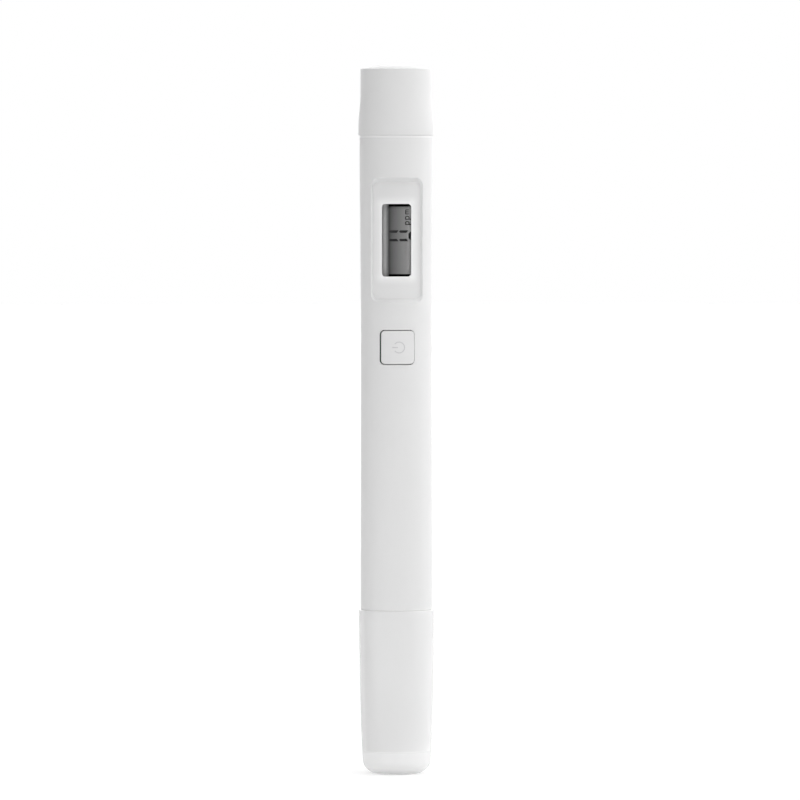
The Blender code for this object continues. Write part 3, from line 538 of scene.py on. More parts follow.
WHITE = (0.83, 0.83, 0.83)
FINISHES = {
    # Its lighter edges are a painted highlight on the pocket's lips and the shells' rims.
    "white_abs": solid_finish(
        "white_abs", WHITE, 0.5, specular=0.25, tint=0.01, depth=1.2, wear=0.3
    ),
    "frosted_pp": frosted_finish("frosted_pp", (0.97, 0.97, 0.97), 0.32),
    "clear_acrylic": clear_finish("clear_acrylic", (0.995, 0.995, 0.995), 0.03, 0.002),
    "lcd_glass": clear_finish("lcd_glass", (0.99, 0.99, 0.99), 0.02, 0.002),
    "lcd_film": film_finish("lcd_film", FILM_PAINTED_SHADE_TONES),
    "black_plastic": solid_finish(
        "black_plastic", (0.012, 0.012, 0.012), 0.5, tint=0.25, wear=0.15, specular=0.2
    ),
    "grey_silicone": solid_finish(
        "grey_silicone", (0.45, 0.45, 0.46), 0.65, tint=0.06, patch=2.0, wear=0.08
    ),
    "black_rubber": solid_finish(
        "black_rubber", (0.035, 0.035, 0.035), 0.7, tint=0.3, patch=1.5, grain=0.06, wear=0.2
    ),
    "solder_mask": solid_finish(
        "solder_mask", (0.02, 0.1, 0.05), 0.35, tint=0.2, patch=1.2, coat=0.3, depth=3.0
    ),
    "component_ceramic": solid_finish(
        "component_ceramic", (0.35, 0.28, 0.2), 0.55, tint=0.15, patch=0.5, grain=0.05
    ),
    "nickel_plate": solid_finish(
        "nickel_plate", (0.6, 0.58, 0.55), 0.33, metallic=1.0, tint=0.06, patch=1.2, grain=0.05,
        depth=0.6, rough_spread=0.1, wear=0.15,
    ),
    "titanium": solid_finish(
        "titanium", (0.53, 0.51, 0.48), 0.32, metallic=1.0, tint=0.08, patch=1.5, grain=0.06,
        depth=0.8, stretch=(0.2, 0.2, 3.0), rough_spread=0.08, wear=0.2,
    ),
    "black_wire": solid_finish("black_wire", (0.03, 0.03, 0.03), 0.45, tint=0.2, patch=1.0),
    "red_wire": solid_finish("red_wire", (0.55, 0.04, 0.03), 0.45, tint=0.12, patch=1.0),
}
KEY_WHITE = solid_finish("key_white", WHITE, 0.5, specular=0.25, tint=0.01, depth=1.2)
# The barrel's white, with painted highlights at its rims and a painted halo round the window.
BARREL_WHITE = solid_finish(
    "barrel_white", WHITE, 0.5, specular=0.25, lighten=painted_highlight_mask, tint=0.01, depth=1.2,
    wear=0.3,
)
BARE_GLASS = film_finish("display_ledge", BARE_GLASS_PAINTED_SHADE_TONES)
SEGMENT_INK = solid_finish("segment_ink", (0.02, 0.02, 0.022), 0.5, tint=0.3, patch=0.5)
# Black without gloss: painted shade for the dark gaps beyond the film's ends.
END_GAP_SHADE = solid_finish("end_gap_shade", (0.002, 0.002, 0.002), 0.6, tint=0.3, specular=0.0)
PRINT_INK = solid_finish("print_ink", (0.64, 0.64, 0.65), 0.5, tint=0.05, patch=0.4)


# Mesh tools.

class Skin:
    """A mesh that grows by loops of points and the quads between them."""

    def __init__(self):
        self.points = []
        self.faces = []

    def loop(self, points):
        start = len(self.points)
        self.points += [tuple(p) for p in points]
        return list(range(start, len(self.points)))

    def bridge(self, first, second, closed=True):
        count = len(first)
        for i in range(count if closed else count - 1):
            j = (i + 1) % count
            self.faces.append((first[i], first[j], second[j], second[i]))

    def stack(self, loops):
        """Adds loops and joins each one to the next. Gives the first and the last."""
        made = [self.loop(points) for points in loops]
        for first, second in zip(made, made[1:]):
            self.bridge(first, second)
        return made[0], made[-1]

    def fan(self, loop, centre):
        middle = self.loop([centre])[0]
        for i, corner in enumerate(loop):
            self.faces.append((corner, loop[(i + 1) % len(loop)], middle))

    def close(self, loops, back, front):
        """Adds loops joined each to the next, and fans the ends to the points back and front."""
        first, last = self.stack(loops)
        self.fan(first, back)
        self.fan(last, front)

    def prism(self, loops):
        """Adds loops joined each to the next, with a flat face at both ends."""
        first, last = self.stack(loops)
        self.faces += [tuple(first), tuple(last)]

    def piece(self, name, body, slot, finish=None, sharp_deg=40.0):
        mesh = bpy.data.meshes.new(name)
        mesh.from_pydata(self.points, [], self.faces)
        tidy_mesh(mesh, sharp_deg)
        return place_piece(name, mesh, body, slot, finish)


def tidy_mesh(mesh, sharp_deg=40.0):
    """Joins coincident points, faces everything outward and smooths all but the sharp edges."""
    bm = bmesh.new()
    bm.from_mesh(mesh)
    bmesh.ops.remove_doubles(bm, verts=bm.verts, dist=1e-7)
    bmesh.ops.dissolve_degenerate(bm, dist=1e-8, edges=bm.edges)
    bmesh.ops.recalc_face_normals(bm, faces=bm.faces)
    bm.to_mesh(mesh)
    bm.free()
    mesh.shade_smooth()
    mesh.set_sharp_from_angle(angle=math.radians(sharp_deg))


def place_piece(name, mesh, body, slot, finish=None):
    """Links a new piece to the scene, riding on its body, with its slot's finish or its own."""
    obj = bpy.data.objects.new(name, mesh)
    bpy.context.scene.collection.objects.link(obj)
    mesh.materials.clear()
    mesh.materials.append(finish or FINISHES[slot])
    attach(obj, body)
    return obj


def turn_at(start, corner, end, t):
    """A point on the smooth turn from start to end round a corner."""
    return start * (1 - t) ** 2 + corner * 2 * t * (1 - t) + end * t**2


def rounded(corners, closed=False):
    """An outline through (r, z) or (r, z, fillet) corners, with each fillet drawn as an arc."""
    points = []
    count = len(corners)
    for i, corner in enumerate(corners):
        here = Vector(corner[:2])
        at_end = not closed and i in (0, count - 1)
        if len(corner) < 3 or at_end:
            points.append(tuple(here))
            continue
        back = Vector(corners[i - 1][:2]) - here
        on = Vector(corners[(i + 1) % count][:2]) - here
        reach = corner[2] / math.tan(back.angle(on) / 2)
        reach = min(reach, 0.49 * back.length, 0.49 * on.length)
        start = here + back.normalized() * reach
        end = here + on.normalized() * reach
        for k in range(FILLET_STEPS + 1):
            points.append(tuple(turn_at(start, here, end, k / FILLET_STEPS)))
    return points


def turned(
    name, profile, body, slot, closed=False, steps=ROUND_STEPS, centre_x=0.0, shape=None
):
    """A shape turned about an upright axis from (r, z) points. An open profile ends on the axis."""
    skin = Skin()
    loops = []
    for r, z in profile:
        if r > 0:
            angles = (2 * math.pi * i / steps for i in range(steps))
            ring = [Vector((centre_x + r * math.sin(a), -r * math.cos(a), z)) for a in angles]
            loops.append([shape(point) for point in ring] if shape else ring)
    first, last = skin.stack(loops)
    if closed:
        skin.bridge(last, first)
    else:
        skin.fan(first, (centre_x, 0.0, profile[0][1]))
        skin.fan(last, (centre_x, 0.0, profile[-1][1]))
    return skin.piece(name, body, slot)


def seal(name, centre_r, thick_r, z, node):
    """An O-ring."""
    turns = [2 * math.pi * i / SEAL_STEPS for i in range(SEAL_STEPS)]
    section = [(centre_r + thick_r * math.cos(t), z + thick_r * math.sin(t)) for t in turns]
    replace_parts(turned(name, section, BARREL_BODY, "black_rubber", closed=True), node)


def ease(share):
    return share * share * (3 - 2 * share)


def spread(low, high, count):
    """The places that divide a span evenly, without its ends."""
    return [low + (high - low) * i / count for i in range(1, count)]


def outline(half, corner, steps_z, squared=False):
    """Points (x, z) round a rounded rectangle. Squared, its corners are drawn out to be sharp."""
    x, z = half
    cx, cz = x - corner, z - corner
    starts = ((x, -cz), (cx, z), (-x, cz), (-cx, -z))
    ends = ((x, cz), (-cx, z), (-x, -cz), (cx, -z))
    centres = ((cx, cz), (-cx, cz), (-cx, -cz), (cx, -cz))
    points = []
    for quarter in range(4):
        count = PATCH_STEPS_X if quarter % 2 else steps_z
        start, end = Vector(starts[quarter]), Vector(ends[quarter])
        points += [start.lerp(end, i / count) for i in range(count)]
        for i in range(PATCH_STEPS_CORNER):
            angle = math.radians(90 * (quarter + i / PATCH_STEPS_CORNER))
            out = Vector((math.cos(angle), math.sin(angle)))
            if squared:
                out /= max(abs(out.x), abs(out.y))
            points.append(Vector(centres[quarter]) + out * corner)
    return points


def side_places(half, count):
    """Where the points of a squared outline fall along one of its sides."""
    straight = half - PATCH_CORNER
    corner_steps = PATCH_STEPS_CORNER // 2
    ends = [
        straight + PATCH_CORNER * math.tan(math.radians(90 * i / PATCH_STEPS_CORNER))
        for i in range(1, corner_steps + 1)
    ]
    inner = [straight * (2 * i / count - 1) for i in range(count + 1)]
    return [-e for e in reversed(ends)] + inner + ends


# Barrel.

def barrel_radius(z):
    """The outer radius: slimmest at the waist, and eased towards both ends."""
    if z > BARREL_WAIST_Z:
        share = (z - BARREL_WAIST_Z) / (TOP_SEAM_Z - BARREL_WAIST_Z)
        return BARREL_WAIST_R + (BARREL_TOP_R - BARREL_WAIST_R) * ease(share)
    share = (BARREL_WAIST_Z - z) / (BARREL_WAIST_Z - PROBE_SEAM_Z)
    return BARREL_WAIST_R + (BARREL_FOOT_R - BARREL_WAIST_R) * ease(share)


def bore_radius(z):
    share = (z - BATTERY_BORE_Z + BORE_STEP) / BORE_STEP
    return BARREL_BORE_R + (BATTERY_BORE_R - BARREL_BORE_R) * min(max(share, 0.0), 1.0)


def on_front(radius, x):
    """The y of a point on the front of a cylinder about the pen's axis."""
    return -math.sqrt(max(radius * radius - x * x, 0.0))


def floor_y(x):
    """The pocket's floor, a gentle cylinder."""
    return POCKET_FLOOR_Y + POCKET_FLOOR_CURVE - math.sqrt(POCKET_FLOOR_CURVE**2 - x * x)


def patch_frame(half_z, steps_z, centre_z, radius_at):
    """The square border of a patch, on a surface about the pen's axis."""
    border = []
    for x, z in outline((PATCH_HALF_X, half_z), PATCH_CORNER, steps_z, squared=True):
        radius = radius_at(centre_z + z)
        border.append(Vector((x * radius / PATCH_R, z)))
    return border


def toward(first, second, share):
    return [a.lerp(b, share) for a, b in zip(first, second)]


def lift(points, centre_z, height):
    """Gives (x, z) points their y: the same for all, or what height gives at each."""
    if not callable(height):
        return [Vector((x, height, centre_z + z)) for x, z in points]
    return [Vector((x, height(x, centre_z + z), centre_z + z)) for x, z in points]


def on_outside(x, z):
    return on_front(barrel_radius(z), x)


def on_bore(x, z):
    return on_front(bore_radius(z), x)


def arc_between(start, corner, end):
    """Loops that turn smoothly from start to end round a corner, all three given as loops."""
    return [
        [turn_at(*points, i / LIP_STEPS) for points in zip(start, corner, end)]
        for i in range(LIP_STEPS + 1)
    ]


def pocket_loops():
    """Loops from the barrel's surface over the lip, down the wall, across the floor and out."""
    def lip_outline(out):
        half = (POCKET_HALF[0] + out, POCKET_HALF[1] + out)
        return outline(half, POCKET_CORNER + out, POCKET_STEPS_Z)

    def floor_outline(inset):
        """The foot of the wall. The wall is wider at its top and bottom than at its sides."""
        drop = (POCKET_WALL_TOP - POCKET_WALL_FOOT) / 2
        half_z = POCKET_HALF[1] - (POCKET_WALL_TOP + POCKET_WALL_FOOT) / 2 - inset
        half = (POCKET_HALF[0] - POCKET_WALL_SIDE - inset, half_z)
        points = outline(half, POCKET_CORNER - POCKET_WALL_SIDE, POCKET_STEPS_Z)
        return [point - Vector((0.0, drop)) for point in points]

    def on_floor(points, drop=0.0):
        return lift(points, DISPLAY_Z, lambda x, z: floor_y(x) + drop)

    border = patch_frame(POCKET_PATCH_HALF_Z, POCKET_STEPS_Z, DISPLAY_Z, barrel_radius)
    outer_lip = lip_outline(POCKET_LIP)
    shares = (0, 0.35, 0.7, 0.9, 0.97)
    loops = [lift(toward(border, outer_lip, s), DISPLAY_Z, on_outside) for s in shares]

    # A small rounding at the lip, a straight wall, and a small fillet where it meets the floor.
    lip = lift(lip_outline(0.0), DISPLAY_Z, on_outside)
    crease = on_floor(floor_outline(0.0), POCKET_CREASE_DEPTH)
    wall_top = toward(lip, crease, 0.2)
    wall_foot = toward(lip, crease, 0.75)
    loops += arc_between(lift(outer_lip, DISPLAY_Z, on_outside), lip, wall_top)
    loops += [toward(wall_top, wall_foot, s) for s in (0.33, 0.67)]
    floor_edge = floor_outline(POCKET_CREASE)
    loops += arc_between(wall_foot, crease, on_floor(floor_edge))

    # The floor, and the rounded edge of the window in it.
    rim = window_outline(WINDOW_EDGE)
    window = window_outline(0.0)
    loops += [on_floor(toward(floor_edge, rim, s)) for s in (0.2, 0.4, 0.6, 0.8, 0.95)]
    loops += arc_between(on_floor(rim), on_floor(window), on_floor(window, WINDOW_EDGE))

    # The window's wall, the flat inner side of the pad, and the bore round it.
    pad = outline(PAD_HALF, POCKET_CORNER, POCKET_STEPS_Z)
    foot_half = [h + SEAM for h in PAD_HALF]
    foot = outline(foot_half, POCKET_CORNER + SEAM, POCKET_STEPS_Z)
    bore = patch_frame(POCKET_PATCH_HALF_Z, POCKET_STEPS_Z, DISPLAY_Z, bore_radius)
    shares = (0.0, 0.5, 1.0)
    loops += [lift(toward(window, pad, s), DISPLAY_Z, PAD_INNER_Y) for s in shares]
    loops += [lift(toward(foot, bore, s), DISPLAY_Z, on_bore) for s in shares]
    return loops


def window_outline(out):
    half = (WINDOW_HALF[0] + out, WINDOW_HALF[1] + out)
    points = outline(half, WINDOW_CORNER + out, POCKET_STEPS_Z)
    return [point + Vector((WINDOW_X, 0.0)) for point in points]


def hole_loops():
    """Loops from the barrel's surface over the edge of the button's hole and out to the bore."""
    def hole(out):
        half = (HOLE_HALF[0] + out, HOLE_HALF[1] + out)
        return outline(half, HOLE_CORNER + out, HOLE_STEPS_Z)

    border = patch_frame(HOLE_PATCH_HALF_Z, HOLE_STEPS_Z, BUTTON_Z, barrel_radius)
    edge = hole(HOLE_EDGE)
    shares = (0, 0.3, 0.6, 0.85, 1.0)
    loops = [lift(toward(border, edge, s), BUTTON_Z, on_outside) for s in shares]
    for angle in (30, 60, 90):
        turn = math.radians(angle)
        drop = HOLE_EDGE * (1 - math.cos(turn))
        ring = hole(HOLE_EDGE * (1 - math.sin(turn)))
        loops.append(lift(ring, BUTTON_Z, lambda x, z, d=drop: on_outside(x, z) + d))
    bore = patch_frame(HOLE_PATCH_HALF_Z, HOLE_STEPS_Z, BUTTON_Z, bore_radius)
    loops += [lift(toward(hole(0.0), bore, s), BUTTON_Z, on_bore) for s in (0.0, 0.5, 1.0)]
    return loops


def make_barrel():
    """The shell: a turned skin with two openings, each filled by its own loops."""
    pocket_z = [DISPLAY_Z + z for z in side_places(POCKET_PATCH_HALF_Z, POCKET_STEPS_Z)]
    hole_z = [BUTTON_Z + z for z in side_places(HOLE_PATCH_HALF_Z, HOLE_STEPS_Z)]
    foot_z = PROBE_SEAM_Z + SEAM + BARREL_EDGE
    top_z = TOP_SEAM_Z - BARREL_EDGE
    rows = (
        spread(foot_z, hole_z[0], 24)
        + hole_z
        + spread(hole_z[-1], pocket_z[0], 3)
        + pocket_z
        + [BATTERY_BORE_Z]
        + spread(BATTERY_BORE_Z, top_z, 6)
    )
    ledge_z = PROBE_SEAM_Z + SEAM
    neck = rounded(
        [
            (BARREL_FOOT_R, foot_z + BARREL_EDGE),
            (BARREL_FOOT_R, ledge_z, 0.5 * BARREL_EDGE),
            (NECK_R, ledge_z, BARREL_EDGE),
            (NECK_R, NECK_END_Z, 2 * BARREL_EDGE),
            (NECK_BORE_R, NECK_END_Z, BARREL_EDGE),
            (NECK_BORE_R, NECK_BORE_TOP_Z),
            (BARREL_BORE_R, NECK_BORE_TOP_Z + BORE_STEP),
        ]
    )
    rim = rounded(
        [
            (BATTERY_BORE_R, top_z - BARREL_EDGE),
            (BATTERY_BORE_R, TOP_SEAM_Z + RIM_RISE, BARREL_EDGE),
            (BARREL_TOP_R, TOP_SEAM_Z + RIM_RISE, BARREL_EDGE),
            (BARREL_TOP_R, top_z - BARREL_EDGE),
        ]
    )
    profile = [(barrel_radius(z), z, True) for z in reversed(rows)]
    profile += [(r, z, False) for r, z in neck]
    profile += [(bore_radius(z), z, True) for z in rows if z > NECK_BORE_TOP_Z + BORE_STEP]
    profile += [(r, z, False) for r, z in rim]

    front = [math.asin(x / PATCH_R) for x in side_places(PATCH_HALF_X, PATCH_STEPS_X)]
    back_count = round(math.degrees(2 * math.pi - 2 * front[-1]) / BACK_STEP_DEG)
    angles = front + spread(front[-1], 2 * math.pi + front[0], back_count)
    skin = Skin()
    loops = [
        skin.loop([(r * math.sin(a), -r * math.cos(a), z) for a in angles])
        for r, z, straight in profile
    ]
    openings = ((pocket_z[0], pocket_z[-1]), (hole_z[0], hole_z[-1]))
    slack = 1e-6
    for i, first in enumerate(loops):
        following = (i + 1) % len(loops)
        second = loops[following]
        z_a, z_b = profile[i][1], profile[following][1]
        open_here = (profile[i][2] and profile[following][2]) and any(
            low - slack < min(z_a, z_b) and max(z_a, z_b) < high + slack
            for low, high in openings
        )
        for j in range(len(angles)):
            if open_here and j < len(front) - 1:
                continue
            k = (j + 1) % len(angles)
            skin.faces.append((first[j], first[k], second[k], second[j]))
    skin.stack(pocket_loops())
    skin.stack(hole_loops())
    barrel = skin.piece("barrel_shell", BARREL_BODY, "white_abs", BARREL_WHITE)
    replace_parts(barrel, "barrel")


# Caps.

def make_top_cap():
    flare_low, flare_high = TOP_CAP_FLARE_Z
    crown_z = TOP_CAP_CREST_Z - TOP_CAP_CROWN
    crown = []
    for i in range(CURVE_STEPS):
        share = i / CURVE_STEPS
        drop = TOP_CAP_CROWN * share**TOP_CAP_CROWN_POWER
        crown.append((TOP_CAP_TOP_R * share, TOP_CAP_CREST_Z - drop))
    flare = []
    for i in range(CURVE_STEPS + 1):
        share = i / CURVE_STEPS
        r = TOP_CAP_TOP_R + (RIM_R - TOP_CAP_TOP_R) * ease(share)
        flare.append((r, flare_high + (flare_low - flare_high) * share))
    corners = [
        *crown,
        (TOP_CAP_TOP_R, crown_z, TOP_CAP_FILLET),
        *flare,
        (RIM_R, TOP_CAP_RIM_Z, TOP_CAP_RIM_EDGE),
        (TOP_CAP_MOUTH_R, TOP_CAP_RIM_Z, CAP_EDGE),
        (TOP_CAP_MOUTH_R, TOP_CAP_MOUTH_Z, CAP_EDGE),
        (TOP_CAP_BORE_R, TOP_CAP_MOUTH_Z + 2 * CAP_EDGE, CAP_EDGE),
        (TOP_CAP_BORE_R, TOP_CAP_CEILING_Z, 2 * CAP_EDGE),
        (0.0, TOP_CAP_CEILING_Z),
    ]
    cap = turned("top_cap_shell", rounded(corners), TOP_CAP_BODY, "white_abs")
    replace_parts(cap, "top_cap")


def probe_cap_radius(z):
    """A slight taper that pulls in faster towards the foot."""
    share = (PROBE_SEAM_Z - z) / PROBE_SEAM_Z
    return RIM_R - PROBE_CAP_TAPER * share - PROBE_CAP_PULL_IN * share**4


def make_probe_cap():
    """A cup: the profile runs from its inner floor up the inside, over the rim and down outside."""
    inner_r = probe_cap_radius(PROBE_CAP_FLOOR_Z) - PROBE_CAP_WALL
    inside = [(0.0, PROBE_CAP_FLOOR_Z), (inner_r, PROBE_CAP_FLOOR_Z, 3 * CAP_EDGE)]
    for z in spread(PROBE_CAP_FLOOR_Z, PROBE_SEAM_Z, CURVE_STEPS):
        inside.append((probe_cap_radius(z) - PROBE_CAP_WALL, z))
    rim = [
        (RIM_R - PROBE_CAP_WALL, PROBE_SEAM_Z, CAP_EDGE),
        (RIM_R, PROBE_SEAM_Z, PROBE_CAP_RIM),
    ]
    outside = [(probe_cap_radius(z), z) for z in spread(PROBE_SEAM_Z, FOOT_ROUND_Z, CURVE_STEPS)]
    foot = []
    reach = probe_cap_radius(FOOT_ROUND_Z) - FOOT_R
    for i in range(CURVE_STEPS + 1):
        angle = math.radians(90 * i / CURVE_STEPS)
        r = FOOT_R + reach * math.cos(angle)
        foot.append((r, FOOT_ROUND_Z * (1 - math.sin(angle))))
    gate = [
        (GATE_R + CAP_EDGE, 0.0, CAP_EDGE / 2),
        (GATE_R, GATE_DEPTH, CAP_EDGE / 2),
        (0.0, GATE_DEPTH),
    ]
    profile = rounded([*inside, *rim, *outside, *foot, *gate])
    cap = turned("probe_cap_shell", profile, PROBE_CAP_BODY, "frosted_pp")
    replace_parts(cap, "probe_cap")


# Under the caps.

def make_battery_sleeve():
    """The insert that holds the cells, with a groove for the seal and one for the strip."""
    low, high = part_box("battery_holder")
    floor_low, floor_high = low.z + SLEEVE_SKIRT, low.z + SLEEVE_SKIRT + SLEEVE_FLOOR
    groove_low, groove_high = SLEEVE_GROOVE_Z
    corners = [
        (CELL_BORE_R, high.z, CAP_EDGE),
        (CELL_BORE_R, floor_high, CAP_EDGE),
        (SLEEVE_HOLE_R, floor_high),
        (SLEEVE_HOLE_R, floor_low),
        (CELL_BORE_R, floor_low),
        (CELL_BORE_R, low.z),
        (SLEEVE_R, low.z, CAP_EDGE),
        (SLEEVE_R, groove_low, CAP_EDGE / 4),
        (SLEEVE_GROOVE_R, groove_low, CAP_EDGE / 4),
        (SLEEVE_GROOVE_R, groove_high, CAP_EDGE / 4),
        (SLEEVE_R, groove_high, CAP_EDGE / 4),
        (SLEEVE_R, high.z, 1.5 * CAP_EDGE),
    ]

    def strip_groove(point):
        if abs(point.x) < STRIP_GROOVE_HALF_X:
            point.y = min(point.y, STRIP_GROOVE_Y)
        return point

    profile = rounded(corners, closed=True)
    sleeve = turned(
        "battery_sleeve", profile, BARREL_BODY, "white_abs", closed=True, shape=strip_groove
    )
    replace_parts(sleeve, "battery_holder")


def make_cells():
    """Two button cells: a rolled can with its positive face up over a smaller negative face."""
    for number, node in enumerate(("battery_cell_lower", "battery_cell_upper"), start=1):
        low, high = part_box(node)
        r = high.x
        step_z = low.z + CELL_STEP_Z
        dish_r, dish_rim_r = (r * share for share in CELL_DISH_SHARES)
        turn_r, minus_r = (r * share for share in CELL_MINUS_SHARES)
        corners = [
            (0.0, high.z - CELL_DISH),
            (dish_r, high.z - CELL_DISH, CELL_DISH),
            (dish_rim_r, high.z, CELL_DISH),
            (r, high.z, 2 * CAP_EDGE),
            (r, step_z + CAP_EDGE, 1.5 * CAP_EDGE),
            (turn_r, step_z, CAP_EDGE),
            (minus_r, step_z),
            (minus_r, low.z, CAP_EDGE),
            (0.0, low.z),
        ]
        cell = turned(f"button_cell_{number}", rounded(corners), BARREL_BODY, "nickel_plate")
        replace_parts(cell, node)
    # A raised plus on the face that shows when the cap is off.
    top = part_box("battery_cell_upper")[1].z
    corner = ((PLUS_ARM, -PLUS_BAR), (PLUS_ARM, PLUS_BAR), (PLUS_BAR, PLUS_BAR))
    plus = []
    for quarter in range(4):
        turn = Matrix.Rotation(math.radians(90 * quarter), 2)
        plus += [turn @ Vector(point) for point in corner]
    skin = Skin()
    skin.prism([[(x, y, top - drop) for x, y in plus] for drop in PLUS_DROPS])
    skin.piece("button_cell_plus", BARREL_BODY, "nickel_plate", sharp_deg=20.0)


def carve(piece, cutter):
    """Cuts one mesh out of another and throws the cutter away."""
    modifier = piece.modifiers.new("carve", "BOOLEAN")
    modifier.object = cutter
    modifier.solver = "EXACT"
    seen = piece.evaluated_get(bpy.context.evaluated_depsgraph_get())
    mesh = bpy.data.meshes.new_from_object(seen)
    piece.modifiers.clear()
    piece.data = mesh
    bpy.data.objects.remove(cutter)
    tidy_mesh(mesh)


def make_probe_guard():
    """The plug in the barrel's neck with its slotted guard round the probe tips."""
    low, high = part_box("probe_holder")
    flange_low, flange_high = GUARD_FLANGE_Z
    web_low, web_high = GUARD_WEB_Z
    mouth_r, root_r = GUARD_R
    bore_mouth_r, bore_root_r = GUARD_BORE_R
    corners = [
        (0.0, web_low),
        (bore_root_r, web_low, CAP_EDGE),
        (bore_mouth_r, low.z, CAP_EDGE),
        (mouth_r, low.z, 1.5 * CAP_EDGE),
        (root_r, flange_low, 1.5 * CAP_EDGE),
        (FLANGE_RING_R, flange_low, CAP_EDGE),
        (FLANGE_RING_R, flange_high, CAP_EDGE),
        (PLUG_R, flange_high, CAP_EDGE / 2),
        (PLUG_R, high.z, CAP_EDGE),
        (PLUG_BORE_R, high.z, CAP_EDGE),
        (PLUG_BORE_R, web_high),
        (0.0, web_high),
    ]
    guard = turned("probe_guard", rounded(corners), BARREL_BODY, "white_abs")
    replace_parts(guard, "probe_holder")

    # The slot that lets water reach the tips, rounded at its inner end.
    half, top = GUARD_SLOT_HALF_X, GUARD_SLOT_TOP_Z
    section = rounded(
        [
            (-half, low.z - half),
            (half, low.z - half),
            (half, top, GUARD_SLOT_ROUND * half),
            (-half, top, GUARD_SLOT_ROUND * half),
        ],
        closed=True,
    )
    skin = Skin()
    skin.prism([[(x, y, z) for x, z in section] for y in (-2 * PLUG_R, 2 * PLUG_R)])
    mesh = bpy.data.meshes.new("slot_cutter")
    mesh.from_pydata(skin.points, [], skin.faces)
    tidy_mesh(mesh)
    cutter = bpy.data.objects.new("slot_cutter", mesh)
    bpy.context.scene.collection.objects.link(cutter)
    carve(guard, cutter)


def make_probe_pins():
    for name in ("left", "right"):
        node = f"probe_pin_{name}"
        low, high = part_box(node)
        r = (high.x - low.x) / 2
        corners = [
            (0.0, low.z),
            (0.45 * r, low.z, 0.2 * r),
            (r, low.z + 0.55 * r, 0.35 * r),
            (r, high.z, 0.2 * r),
            (0.0, high.z),
        ]
        pin_name, centre_x = f"electrode_{name}", (low.x + high.x) / 2
        pin = turned(
            pin_name, rounded(corners), BARREL_BODY, "titanium", steps=PIN_STEPS, centre_x=centre_x
        )
        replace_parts(pin, node)


# Key.

def key_outline(inset):
    half = (KEY_HALF[0] - inset, KEY_HALF[1] - inset)
    points = outline(half, KEY_CORNER - inset, HOLE_STEPS_Z)
    return [point + Vector((KEY_SHIFT, 0.0)) for point in points]


def key_face(x, z):
    return on_front(BARREL_WAIST_R, x)


def make_key():
    """The key, with a rounded edge and a face that follows the barrel's curve."""
    loops = [lift(key_outline(0.0), BUTTON_Z, KEY_BACK_Y)]
    for angle in (0, 22.5, 45, 67.5, 90):
        turn = math.radians(angle)
        drop = KEY_EDGE * (1 - math.sin(turn))
        ring = key_outline(KEY_EDGE * (1 - math.cos(turn)))
        loops.append(lift(ring, BUTTON_Z, lambda x, z, d=drop: key_face(x, z) + d))
    edge = key_outline(KEY_EDGE)
    centre = Vector((KEY_SHIFT, 0.0))
    for share in (0.9, 0.75, 0.6, 0.45, 0.3, 0.15):
        loops.append(lift([centre.lerp(p, share) for p in edge], BUTTON_Z, key_face))
    skin = Skin()
    face_y = key_face(KEY_SHIFT, BUTTON_Z)
    skin.close(loops, (KEY_SHIFT, KEY_BACK_Y, BUTTON_Z), (KEY_SHIFT, face_y, BUTTON_Z))
    key = skin.piece("measure_key", BUTTON_BODY, "white_abs", KEY_WHITE)
    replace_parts(key, "measure_button")

    # The flange behind the barrel's wall keeps the key in.
    def flange_face(x, z):
        return on_front(FLANGE_R, x)

    rim = outline(FLANGE_HALF, HOLE_CORNER, HOLE_STEPS_Z)
    front_rim = outline([h - HOLE_EDGE for h in FLANGE_HALF], HOLE_CORNER, HOLE_STEPS_Z)
    skin = Skin()
    loops = [
        lift(rim, BUTTON_Z, KEY_BACK_Y),
        lift(rim, BUTTON_Z, lambda x, z: flange_face(x, z) + HOLE_EDGE),
        lift(front_rim, BUTTON_Z, flange_face),
        lift([point / 2 for point in front_rim], BUTTON_Z, flange_face),
    ]
    skin.close(loops, (0.0, KEY_BACK_Y, BUTTON_Z), (0.0, -FLANGE_R, BUTTON_Z))
    flange = skin.piece("measure_key_flange", BUTTON_BODY, "white_abs")
    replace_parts(flange, "measure_button")


def make_membrane():
    """The silicone pad between the key and the switch, which the key presses on."""
    front_y, back_y = MEMBRANE_Y
    full = outline(MEMBRANE_HALF, HOLE_CORNER, HOLE_STEPS_Z)
    small = outline([h - MEMBRANE_EDGE for h in MEMBRANE_HALF], HOLE_CORNER, HOLE_STEPS_Z)
    skin = Skin()
    loops = [
        lift(small, BUTTON_Z, back_y),
        lift(full, BUTTON_Z, back_y - MEMBRANE_EDGE),
        lift(full, BUTTON_Z, front_y + MEMBRANE_EDGE),
        lift(small, BUTTON_Z, front_y),
    ]
    skin.close(loops, (0.0, back_y, BUTTON_Z), (0.0, front_y, BUTTON_Z))
    pad = skin.piece("key_membrane", BARREL_BODY, "grey_silicone")
    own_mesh(pad)
    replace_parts(pad, "button_membrane")


def ribbon(skin, left, right):
    """A thin inked ribbon on the key's face between two edges given as (x, z) points."""
    loops = []
    for (xa, za), (xb, zb) in zip(left, right):
        loops.append(
            [
                (xa, key_face(xa, za) - INK, za),
                (xb, key_face(xb, zb) - INK, zb),
                (xb, key_face(xb, zb) + INK, zb),
                (xa, key_face(xa, za) + INK, za),
            ]
        )
    skin.prism(loops)


